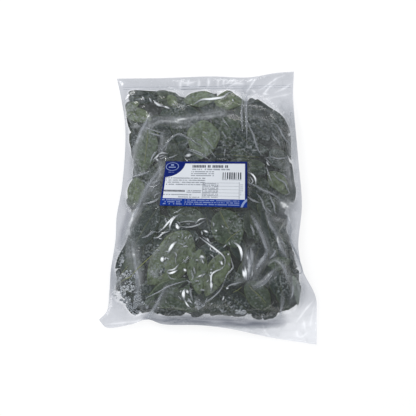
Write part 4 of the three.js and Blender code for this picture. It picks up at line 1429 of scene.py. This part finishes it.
# %% Fold paths, each a width in millimetres, how milky it is, and a run of points
FOLDS = [
    (3.2, 0.55, [(44, 140), (43, 118), (44, 95)]),
    (3.2, 0.55, [(49.5, 145), (49, 118), (49.5, 85)]),
    (3.0, 0.55, [(50, 113), (53, 103), (57, 95), (60, 85), (62, 78), (66, 70), (70, 66)]),
    (3.0, 0.60, [(83, 108), (90, 103), (95, 93), (103, 83), (106, 80)]),
    (2.6, 0.60, [(81, 98), (85, 90), (90, 84), (92, 78)]),
    (2.6, 0.60, [(73, 64), (80, 65), (90, 63), (104, 65)]),
    (2.0, 0.60, [(73, 64), (76, 60), (80, 56)]),
    (2.4, 0.60, [(74, 54), (76, 47), (79, 38), (83, 31)]),
    (2.6, 0.60, [(87, 47), (85, 42), (90, 37), (98, 32), (101, 25), (104, 19), (99, 17), (95, 14)]),
    (2.2, 0.60, [(92, 44), (97, 42), (101, 38)]),
    (3.8, 0.50, [(50, 33), (56, 30), (61, 28), (70, 23), (80, 19), (88, 14), (93, 11)]),
    (3.0, 0.60, [(62, 19), (66, 14), (69, 9), (71, 2), (75, -4), (79, -8)]),
    (3.2, 0.60, [(78, 18), (81, 10), (84, 4), (85, -3), (87, -9)]),
    (1.8, 0.60, [(74, 2), (78, -3), (82, -6)]),
    (3.4, 0.60, [(50, 15), (55, 11), (62, 8), (66, 6)]),
    (3.0, 0.30, [(77, -12), (79, -20), (82, -26), (86, -31), (88, -38)]),
    (4.5, 0.30, [(57, -9), (60, -15), (64, -22), (67, -30), (70, -38), (73, -48), (76, -55)]),
    (5.5, 0.30, [(76, -55), (72, -62), (66, -70), (61, -78)]),
    (3.6, 0.60, [(54, -20), (57, -27), (59, -35)]),
    (4.2, 0.50, [(90, -40), (92, -50), (97, -57), (100, -62)]),
    (3.4, 0.60, [(86, -53), (83, -60), (78, -64)]),
    (3.6, 0.30, [(92, -66), (96, -73), (99, -82), (101, -92)]),
    (5.0, 0.30, [(84, -76), (80, -84), (74, -92), (66, -98), (58, -101)]),
    (3.4, 0.60, [(108, -98), (108, -108), (105, -116)]),
    (3.6, 0.30, [(97, -110), (96, -120), (93, -130), (93, -138)]),
    (5.0, 0.50, [(51, -53), (53, -76), (51, -92)]),
    (3.4, 0.50, [(101, -9), (106, -27), (105, -36), (108, -48), (118, -66)]),
    (5.0, 0.60, [(-76, 113), (-84, 99), (-91, 83)]),
    (2.8, 0.60, [(-75, 96), (-65, 93), (-57, 91)]),
    (3.0, 0.50, [(-65, 63), (-58, 74), (-51, 83), (-44, 91), (-36, 94), (-29, 91), (-15, 83), (-5, 76)]),
    (2.2, 0.60, [(-28, 75), (-13, 69), (2, 62)]),
    (3.2, 0.60, [(-64, 73), (-70, 66), (-73, 58)]),
    (5.0, 0.45, [(-62, 60), (-60, 50), (-65, 43), (-72, 34), (-78, 25), (-84, 12), (-90, 0), (-96, -12)]),
    (3.0, 0.60, [(-60, 36), (-75, 30)]),
    (2.2, 0.60, [(-68, 28), (-72, 20)]),
    (3.0, 0.60, [(-82, 6), (-73, 7), (-63, 11)]),
    (2.2, 0.60, [(-80, -115), (-62, -106), (-47, -98), (-24, -91)]),
    (4.5, 0.50, [(-53, -103), (-58, -108), (-62, -116), (-66, -123), (-70, -130), (-74, -136), (-80, -142)]),
    (4.0, 0.25, [(-93, -62), (-90, -86), (-90, -105), (-92, -118)]),
    (3.4, 0.60, [(-23, -100), (-22, -108), (-19, -118)]),
    (2.4, 0.60, [(-68, -30), (-78, -36), (-84, -38)]),
    (2.6, 0.65, [(-103, 34), (-95, 40), (-84, 43), (-72, 47)]),
    (2.2, 0.60, [(-82, 36), (-71, 27), (-60, 32)]),
    (2.0, 0.55, [(-80, 103), (-70, 99), (-60, 96), (-53, 94)]),
]
print(len(FOLDS), "folds are drawn")


# %% Paths as edges
def path_mesh(name, entries, height, sink):
    """Edges along each path, laid on a height map, with its width and milk on its points; a crease's milk is
    its painted highlight.
    """
    points, edges, widths, milk_and_highlights = [], [], [], []
    for width, milk, path in entries:
        path = smooth_curve(path, steps=8)
        level = sample(height, path[:, 0], path[:, 1]) - sink * width
        start = len(points)
        points += np.column_stack([path, level]).tolist()
        edges += [(start + i, start + i + 1) for i in range(len(path) - 1)]
        widths += [width * MM] * len(path)
        milk_and_highlights += [milk] * len(path)
    mesh = bpy.data.meshes.new(name)
    mesh.from_pydata((np.array(points) * MM).tolist(), edges, [])
    paint_points(mesh, width=widths, milk=milk_and_highlights)
    return put_in_scene(name, mesh)


# %% The tree that sweeps an oval along them
def fold_tree(values):
    """Sweeps a flat oval along every path, wide in the middle and closing at both ends."""
    tree, given, result = new_tree("folds", **values)
    curves = add(tree, "GeometryNodeMeshToCurve", {"Mesh": given["Geometry"]})
    steps = {"Curve": curves.outputs[0], "Length": given["step"]}
    even = add(tree, "GeometryNodeResampleCurve", steps, mode="LENGTH")
    share = add(tree, "GeometryNodeSplineParameter").outputs["Factor"]
    arch = sum_up(tree, "SINE", sum_up(tree, "MULTIPLY_ADD", share, 2.9, 0.12))
    fade = sum_up(tree, "POWER", arch, given["taper"])
    faded = store(tree, even.outputs[0], "fade", fade)
    oval = add(tree, "GeometryNodeCurvePrimitiveCircle", {"Resolution": 12, "Radius": 0.5})
    flat = add(tree, "ShaderNodeCombineXYZ", {0: 1.0, 1: given["flatness"], 2: 1.0})
    flat_oval = add(tree, "GeometryNodeTransform", {"Geometry": oval.outputs[0], "Scale": flat.outputs[0]})
    where = add(tree, "GeometryNodeInputPosition").outputs[0]
    sideways = add(tree, "ShaderNodeSeparateXYZ", {0: where}).outputs[0]
    fall = sum_up(tree, "MULTIPLY", sum_up(tree, "ABSOLUTE", sideways), given["softness"])
    crested = store(tree, flat_oval.outputs[0], "crest", sum_up(tree, "SUBTRACT", 1.0, fall))
    swept = add(
        tree, "GeometryNodeCurveToMesh",
        {
            "Curve": faded,
            "Profile Curve": crested,
            "Scale": sum_up(tree, "MULTIPLY", recall(tree, "width"), fade),
            "Fill Caps": True,
        },
    )
    # How milky the swept piece is; on the crease beads this is a painted highlight.
    milky_and_bright = sum_up(tree, "MULTIPLY", recall(tree, "crest"), recall(tree, "fade"))
    milky_and_bright = sum_up(tree, "MULTIPLY", milky_and_bright, recall(tree, "milk"))
    return close_tree(tree, store(tree, swept.outputs[0], "haze", milky_and_bright), given["material"], result)


def sweep(name, entries, height, sink, material, **look):
    """Every entry's path as a swept oval on a height map, sunk by a share of its width."""
    look = {**look, "material": material}
    source = path_mesh(name + "_paths", entries, height, sink)
    piece = run_tree(name, source, fold_tree(look), **look)
    bpy.data.objects.remove(source)
    return piece


# %% Folds, and creases with a painted highlight
HIGHLIGHT_SPREAD = 1.35
fold_look = {"step": 0.0025, "taper": 0.7, "flatness": 0.3, "softness": 1.6}
crease_look = {"step": 0.0015, "taper": 0.6, "flatness": 0.4, "softness": 0.4}
folds = sweep("film_folds", FOLDS, film_height, -0.1, film, **fold_look)
wide_creases = [(HIGHLIGHT_SPREAD * width, highlight, path) for width, highlight, path in CREASES]
white_creases = sweep("white_creases", wide_creases, film_height, -0.1, film, **crease_look)

# %% [markdown]
# ## Seal and stems
#
# The bag's end is welded by a hot bar that leaves fine ribs, and between the leaves lie thin
# round stalks. Both follow paths, so they are swept like the folds: the ribs flat and of film,
# the stems round and of their own colour.

# %% Seal ribs, each a width in millimetres, how milky it is, and a run of points
SEAL_RIBS = [
    (0.9, 0.12, [(-108, 151.5), (0, 152.6), (106, 154.5)]),
    (0.9, 0.12, [(-108, 154.3), (0, 155.3), (106, 157.2)]),
    # The whitest dashes are milky enough to take the film's painted highlight glow.
    (1.1, 0.80, [(-33, 155.2), (-18, 155.6), (-3, 155.4)]),
    (1.0, 0.60, [(-34, 151.8), (-20, 152.0), (-8, 152.2)]),
    (1.0, 0.50, [(18, 157.0), (31, 158.0)]),
]
seal_look = {"step": 0.004, "taper": 0.15, "flatness": 0.2, "softness": 0.5}
seal = sweep("seal_ribs", SEAL_RIBS, film_height, 0.1, film, **seal_look)

# %% Stems and stalks, the same, but never milky
STEMS = [
    (1.5, 0, [(-71, -60), (-84, -72), (-92, -80), (-98, -87), (-108, -92), (-114, -98)]),
    (1.1, 0, [(-101, -73), (-108, -81), (-112, -87)]),
    (1.0, 0, [(52, -98), (56, -103), (62, -108), (70, -116), (74, -121)]),
    (0.9, 0, [(15, -3), (19, -11), (22, -18), (27, -26)]),
    (0.8, 0, [(43, -27), (31, -35), (22, -44)]),
    (0.9, 0, [(32, -107), (38, -104), (43, -100)]),
    (0.9, 0, [(97, -18), (92, -27), (90, -32)]),
    (0.9, 0, [(-59, -88), (-55, -83)]),
    (1.0, 0, [(-76, 99), (-77, 85), (-79, 70), (-80, 58)]),
    (0.8, 0, [(-68, 100), (-62, 93)]),
    (0.8, 0, [(22, 124), (30, 124), (36, 125)]),
    (0.6, 0, [(32, 67), (48, 66), (66, 64.5)]),
]
stem_look = {"step": 0.003, "taper": 0.25, "flatness": 0.9, "softness": 0.0}
stems = sweep("stems", STEMS, ground, -0.3, stem, **stem_look)

# %% [markdown]
# ## Frost
#
# Ice has grown into crumbs along the bag's lower corners, in flaky clusters. A bump on the
# leaves would vanish from the side, so the crumbs are small lumps of ice. Little grids are laid
# on the leaves in each zone, random waves leave holes in them, and Geometry Nodes spread the
# lumps over what is left.

# %% Beds for the frost
FROST_ZONES = [
    # middle, and reach across and along
    (-100, -106, 15, 27), (-116, -109, 4, 9), (-92, -127, 16, 9), (-111, -66, 4, 9),
    (18, -128, 7, 4), (42, -132, 8, 3), (-12, -122, 5, 6),
]
FROST_GRID = 17
FROST_MARGIN = 1.5


def frost_bed():
    """Points and faces of small grids that lie on the leaves in each zone, with holes."""
    points, faces = [], []
    for px, py, rx, ry in FROST_ZONES:
        across, up = np.linspace(-rx, rx, FROST_GRID) + px, np.linspace(-ry, ry, FROST_GRID) + py
        gx, gy = np.meshgrid(across, up)
        start = len(points)
        level = sample(ground, gx, gy) + 0.3
        points += np.stack([gx, gy, level], -1).reshape(-1, 3).tolist()
        for j in range(FROST_GRID - 1):
            for i in range(FROST_GRID - 1):
                x, y = gx[j:j + 2, i:i + 2].mean(), gy[j:j + 2, i:i + 2].mean()
                in_zone = np.hypot((x - px) / rx, (y - py) / ry) <= 1
                on_leaves = sample(leaf_room, x, y) >= FROST_MARGIN
                if in_zone and on_leaves and waves(x, y, 6, 91) > -0.2:
                    a = start + j * FROST_GRID + i
                    faces.append((a, a + 1, a + FROST_GRID + 1, a + FROST_GRID))
    return points, faces


# %% Lumps of ice
def frost_tree(values):
    """Stands a lump of ice on every point, with a random turn and size."""
    tree, given, result = new_tree("frost", **values)
    spots = spread_points(tree, given, 400000.0)
    lump = add(tree, "GeometryNodeMeshIcoSphere", {"Radius": given["radius"], "Subdivisions": 1})
    turn = random_between(tree, (-0.5, -0.5, 0), (0.5, 0.5, 6.28), 7, "FLOAT_VECTOR")
    size = random_between(tree, (0.4, 0.4, 0.2), (2.0, 1.4, 0.6), 8, "FLOAT_VECTOR")
    stand = add(
        tree, "GeometryNodeInstanceOnPoints",
        {"Points": spots["Points"], "Instance": lump.outputs[0], "Rotation": turn, "Scale": size},
    )
    return close_tree(tree, stand.outputs[0], given["material"], result)


bed_points, bed_faces = frost_bed()
bed = make_piece("frost_bed", bed_points, bed_faces, frost)
frost_values = {"spacing": 0.0015, "radius": 0.0013, "seed": 4, "material": frost}
crumbs = run_tree("frost_crumbs", bed, frost_tree(frost_values), **frost_values)
bpy.data.objects.remove(bed)

# %% [markdown]
# ## The label
#
# The label is a thin plastic sheet with a printed face. Its print could be geometry, but ink
# has no thickness. So it is drawn in the material, from plain rectangles, ovals and stripes on
# the sheet's own UV map: blue borders, a pale panel, grey dashes for lines of print, stripes
# for a bar code and a ruled table.

# %% Print
INK = (0.035, 0.04, 0.06)
GREY_INK = (0.17, 0.19, 0.24)
PANEL = (0.76, 0.79, 0.845)
BLUE = (0.002, 0.013, 0.15)
BAND_BLUE = (0.004, 0.034, 0.28)
PALE_INK = (0.30, 0.38, 0.62)

# Each block of print: left, right, top and bottom from the label's upper left corner, 0 to 1,
# its number of lines, how much of a line's height is inked, and how many letter cells would
# fit across the label. Without cells a line is solid.
PANEL_BLOCK = [(0.023, 0.973, 0.046, 0.828, 1, 1.0, 0)]
DARK_PRINT = [
    (0.333, 0.77, 0.080, 0.137, 1, 1.0, 52), (0.020, 0.27, 0.638, 0.680, 1, 1.0, 70),
]
BAR_CODE = [(0.697, 0.932, 0.237, 0.385, 1, 1.0, 0)]
BARS_ACROSS = 38.3
GREY_PRINT = [
    (0.333, 0.80, 0.160, 0.190, 1, 1.0, 95), (0.325, 0.60, 0.215, 0.345, 3, 0.5, 120),
    (0.030, 0.50, 0.360, 0.550, 4, 0.5, 130), (0.290, 0.46, 0.640, 0.710, 2, 0.6, 120),
    (0.020, 0.35, 0.735, 0.755, 1, 1.0, 130), (0.200, 0.45, 0.785, 0.805, 1, 1.0, 130),
    (0.700, 0.93, 0.393, 0.405, 1, 1.0, 60), (0.480, 0.66, 0.480, 0.810, 10, 0.6, 150),
    (0.475, 0.90, 0.468, 0.830, 5, 0.06, 0), (0.473, 0.477, 0.45, 0.82, 1, 1.0, 0),
    (0.903, 0.908, 0.45, 0.82, 1, 1.0, 0), (0.918, 0.952, 0.50, 0.76, 6, 0.3, 60),
]
PALE_PRINT = [
    (0.02, 0.25, 0.850, 0.985, 3, 0.55, 60), (0.28, 0.91, 0.850, 0.985, 3, 0.5, 100),
    (0.045, 0.130, 0.118, 0.140, 1, 1.0, 0), (0.070, 0.105, 0.060, 0.095, 1, 1.0, 0),
    (0.050, 0.125, 0.235, 0.248, 1, 1.0, 120),
]
# Each oval: its middle, its reach across and down, and the width of its line.
BLUE_CORNER = ((0, 0), (0.245, 0.355), 0)
RING = ((0.088, 0.115), (0.075, 0.088), 0.05)
SWOOSH = ((1.06, 1.08), (0.13, 0.28), 0.09)
BAND_START = 0.80
print(len(DARK_PRINT) + len(GREY_PRINT) + len(PALE_PRINT), "blocks of print")

# %% A node group for one block
PRINT_SOCKETS = ("Middle", "Half", "Lines", "Inked", "Cells")
LETTER_WIDTH = 0.75
SPACES = 0.18


def print_group():
    """A node group that gives 1 where a block of print is inked."""
    tree = bpy.data.node_groups.new("print block", "ShaderNodeTree")
    for label in ("Place", *PRINT_SOCKETS):
        kind = "NodeSocketVector" if label in ("Place", "Middle", "Half") else "NodeSocketFloat"
        tree.interface.new_socket(label, in_out="INPUT", socket_type=kind)
    tree.interface.new_socket("Ink", in_out="OUTPUT", socket_type="NodeSocketFloat")
    given = add(tree, "NodeGroupInput").outputs
    result = add(tree, "NodeGroupOutput").inputs["Ink"]
    away = add(tree, "ShaderNodeVectorMath", {0: given["Place"], 1: given["Middle"]}, operation="SUBTRACT")
    share = add(tree, "ShaderNodeVectorMath", {0: away.outputs[0], 1: given["Half"]}, operation="DIVIDE")
    across, down = add(tree, "ShaderNodeSeparateXYZ", {0: share.outputs[0]}).outputs[:2]
    reach = sum_up(tree, "MAXIMUM", sum_up(tree, "ABSOLUTE", across), sum_up(tree, "ABSOLUTE", down))
    block = sum_up(tree, "LESS_THAN", reach, 1.0)
    line = sum_up(tree, "MULTIPLY", sum_up(tree, "MULTIPLY_ADD", down, 0.5, 0.5), given["Lines"])
    inked = sum_up(tree, "LESS_THAN", sum_up(tree, "FRACT", line), given["Inked"])
    from_left = add(tree, "ShaderNodeSeparateXYZ", {0: given["Place"]}).outputs[0]
    cell = sum_up(tree, "MULTIPLY", from_left, given["Cells"])
    spot = {0: sum_up(tree, "FLOOR", cell), 1: sum_up(tree, "FLOOR", line), 2: given["Cells"]}
    spot = add(tree, "ShaderNodeCombineXYZ", spot)
    dice = add(tree, "ShaderNodeTexWhiteNoise", {"Vector": spot.outputs[0]})
    letter = sum_up(tree, "LESS_THAN", sum_up(tree, "FRACT", cell), LETTER_WIDTH)
    shown = sum_up(tree, "MULTIPLY", letter, sum_up(tree, "GREATER_THAN", dice.outputs["Value"], SPACES))
    shown = sum_up(tree, "MAXIMUM", shown, sum_up(tree, "LESS_THAN", given["Cells"], 1.0))
    tree.links.new(sum_up(tree, "MULTIPLY", sum_up(tree, "MULTIPLY", block, inked), shown), result)
    return tree


print_block = print_group()
print("a block of print is", len(print_block.nodes), "nodes")


# %% The printed face
def ink(tree, place, blocks):
    """1 where any of these blocks of print is inked."""
    total = 0.0
    for left, right, top, bottom, lines, inked, cells in blocks:
        middle = ((left + right) / 2, (top + bottom) / 2, 0)
        half = ((right - left) / 2, (bottom - top) / 2, 1)
        node = add(tree, "ShaderNodeGroup", node_tree=print_block)
        for name, value in zip(PRINT_SOCKETS, (middle, half, float(lines), inked, float(cells))):
            node.inputs[name].default_value = value
        tree.links.new(place, node.inputs["Place"])
        total = sum_up(tree, "ADD", total, node.outputs[0], clamp=True)
    return total


def oval(tree, place, middle, reach, line):
    """1 on an oval's line, or outside it where the line has no width."""
    away = add(tree, "ShaderNodeVectorMath", {0: place, 1: (*middle, 0)}, operation="SUBTRACT")
    share = add(tree, "ShaderNodeVectorMath", {0: away.outputs[0], 1: (*reach, 1)}, operation="DIVIDE")
    far = add(tree, "ShaderNodeVectorMath", {0: share.outputs[0]}, operation="LENGTH").outputs["Value"]
    return sum_up(tree, "COMPARE", far, 1.0, line) if line else sum_up(tree, "GREATER_THAN", far, 1.0)


def bars(tree, across):
    """1 on stripes of random width."""
    stripe = sum_up(tree, "MULTIPLY", across, BARS_ACROSS)
    dice = add(tree, "ShaderNodeTexWhiteNoise", {"W": sum_up(tree, "FLOOR", stripe)}, noise_dimensions="1D")
    width = sum_up(tree, "MULTIPLY_ADD", dice.outputs["Value"], 0.6, 0.25)
    return sum_up(tree, "LESS_THAN", sum_up(tree, "FRACT", stripe), width)


def label_material():
    """The print's colours laid one over another."""
    material, tree, surface = new_material("label")
    place = add(tree, "ShaderNodeTexCoord").outputs["UV"]
    across, down = add(tree, "ShaderNodeSeparateXYZ", {0: place}).outputs[:2]
    pale_lines = sum_up(tree, "MAXIMUM", oval(tree, place, *RING), oval(tree, place, *SWOOSH))
    panel = sum_up(tree, "MULTIPLY", ink(tree, place, PANEL_BLOCK), oval(tree, place, *BLUE_CORNER))
    colour = blend(tree, sum_up(tree, "GREATER_THAN", down, BAND_START), BLUE, BAND_BLUE)
    for cover, tint in (
        (sum_up(tree, "MULTIPLY", ink(tree, place, PALE_PRINT), 0.9), PALE_INK),
        (pale_lines, PALE_INK),
        (panel, PANEL),
        (ink(tree, place, GREY_PRINT), GREY_INK),
        (ink(tree, place, DARK_PRINT), INK),
        (sum_up(tree, "MULTIPLY", bars(tree, across), ink(tree, place, BAR_CODE)), INK),
    ):
        colour = blend(tree, cover, colour, tint)
    finish(tree, surface, {"Base Color": colour, "Roughness": 0.38, "Specular IOR Level": 0.15})
    return material


label = label_material()
print("the label's material has", len(label.node_tree.nodes), "nodes")

# %% Sheet
LABEL_THICKNESS = 0.3
LABEL_LIFT = 0.55
LABEL_WAVES = 0.12

u, v = np.meshgrid(np.linspace(0, 1, 57), np.linspace(0, 1, 31))
lower_left, lower_right, upper_right, upper_left = LABEL_CORNERS
lower = lower_left + u[..., None] * (lower_right - lower_left)
upper = upper_left + u[..., None] * (upper_right - upper_left)
plan = lower + v[..., None] * (upper - lower)
x, y = plan[..., 0], plan[..., 1]
level = sample(pillow_top, x, y) + LABEL_LIFT + LABEL_WAVES * waves(x, y, 14, 81)
points, triangles = closed_grid(np.stack([x, y, level + LABEL_THICKNESS], -1), np.stack([x, y, level], -1))
uv = np.stack([u, 1 - v], -1).reshape(-1, 2)
label_sheet = make_piece("label_sheet", points, triangles, label, np.concatenate([uv, uv]))

# %% [markdown]
# ## Floor, light and camera
#
# The bag lies on white paper, lit evenly, so the paper is as bright as white and glows a
# little through the film's empty margins. Lamps alone would either leave the paper grey or burn
# out the film, so the paper gives off some light itself. Small bright panels round the camera
# give the film its gloss; its crispest highlights are painted on the creases. The camera looks
# straight down from far away.

# %% Floor
HALF_FLOOR = 1.5
PAPER = (0.28, 0.28, 0.285, 1)
PAPER_GLOW = 0.78
floor_signs = ((-1, -1), (1, -1), (1, 1), (-1, 1))
floor_corners = [(HALF_FLOOR * side, HALF_FLOOR * end, 0) for side, end in floor_signs]
floor_mesh = bpy.data.meshes.new("floor")
floor_mesh.from_pydata(floor_corners, [], [(0, 1, 2, 3)])
floor_material, tree, surface = new_material("paper")
paper = add(tree, "ShaderNodeBsdfDiffuse", {"Color": PAPER})
glow = add(tree, "ShaderNodeEmission", {"Color": (1, 1, 1, 1), "Strength": PAPER_GLOW})
both = add(tree, "ShaderNodeAddShader", {0: paper.outputs[0], 1: glow.outputs[0]})
tree.links.new(both.outputs[0], surface)
floor_mesh.materials.append(floor_material)
floor_piece = put_in_scene("floor", floor_mesh)
print("the paper is", 2 * HALF_FLOOR, "m wide")

# %% Light
SOFTBOXES = [
    # name, place in metres, width, height, power in watts
    ("key", (-0.95, 0.95, 0.95), 0.60, 0.60, 12.0),
    ("right", (1.10, 0.15, 0.60), 0.30, 0.90, 1.3),
    ("front", (0.10, -1.15, 0.50), 0.90, 0.25, 1.3),
    ("back", (0.35, 1.05, 0.65), 0.70, 0.25, 2.5),
    ("left", (-1.10, -0.35, 0.55), 0.25, 0.70, 2.5),
]
SKY = (0.96, 0.985, 1.0, 1)
SKY_STRENGTH = 0.46
for name, place, wide, high, power in SOFTBOXES:
    light = bpy.data.lights.new(name, "AREA")
    light.shape = "RECTANGLE"
    light.size, light.size_y = wide, high
    light.energy = power
    lamp = put_in_scene(name, light)
    lamp.location = place
    lamp.rotation_euler = (-Vector(place)).to_track_quat("-Z", "Y").to_euler()
world = bpy.data.worlds.new("studio")
world.use_nodes = True
sky = world.node_tree.nodes["Background"]
sky.inputs["Color"].default_value = SKY
sky.inputs["Strength"].default_value = SKY_STRENGTH
bpy.context.scene.world = world
print(len(SOFTBOXES), "panels give", round(sum(box[-1] for box in SOFTBOXES), 1), "watts")

# %% Camera
CAMERA_HEIGHT = 3.0
FIELD = 0.5312
FIELD_LEVEL = 0.012
SENSOR = 36

camera = put_in_scene("camera", bpy.data.cameras.new("camera"))
camera.location = (0.0002, 0.0002, CAMERA_HEIGHT)
camera.data.sensor_width = SENSOR
camera.data.lens = SENSOR * (CAMERA_HEIGHT - FIELD_LEVEL) / FIELD
camera.data.clip_end = 20
bpy.context.scene.camera = camera
bpy.context.scene.view_settings.view_transform = "Standard"
print("the lens is", round(camera.data.lens, 1), "mm")

# %% [markdown]
# ## Hand-over
# ## One body
# A shut bag has no joint, so every piece rides on the one body, `root`. The film stands for the
# solid bag and the printed sheet for the solid label, which both stay for collision, hidden.

# %% Put every piece on the one body, and hide the solid bag and label
FINISHES = {
    "film": (film_bag, folds, white_creases, seal),
    "leaf": (heap_core_piece, leaf_heap, front_leaves),
    "stem": (stems,),
    "frost": (crumbs,),
    "label": (label_sheet,),
}
for slot, pieces in FINISHES.items():
    for piece in pieces:
        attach(piece, "root")
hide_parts("bag")
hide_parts("label")
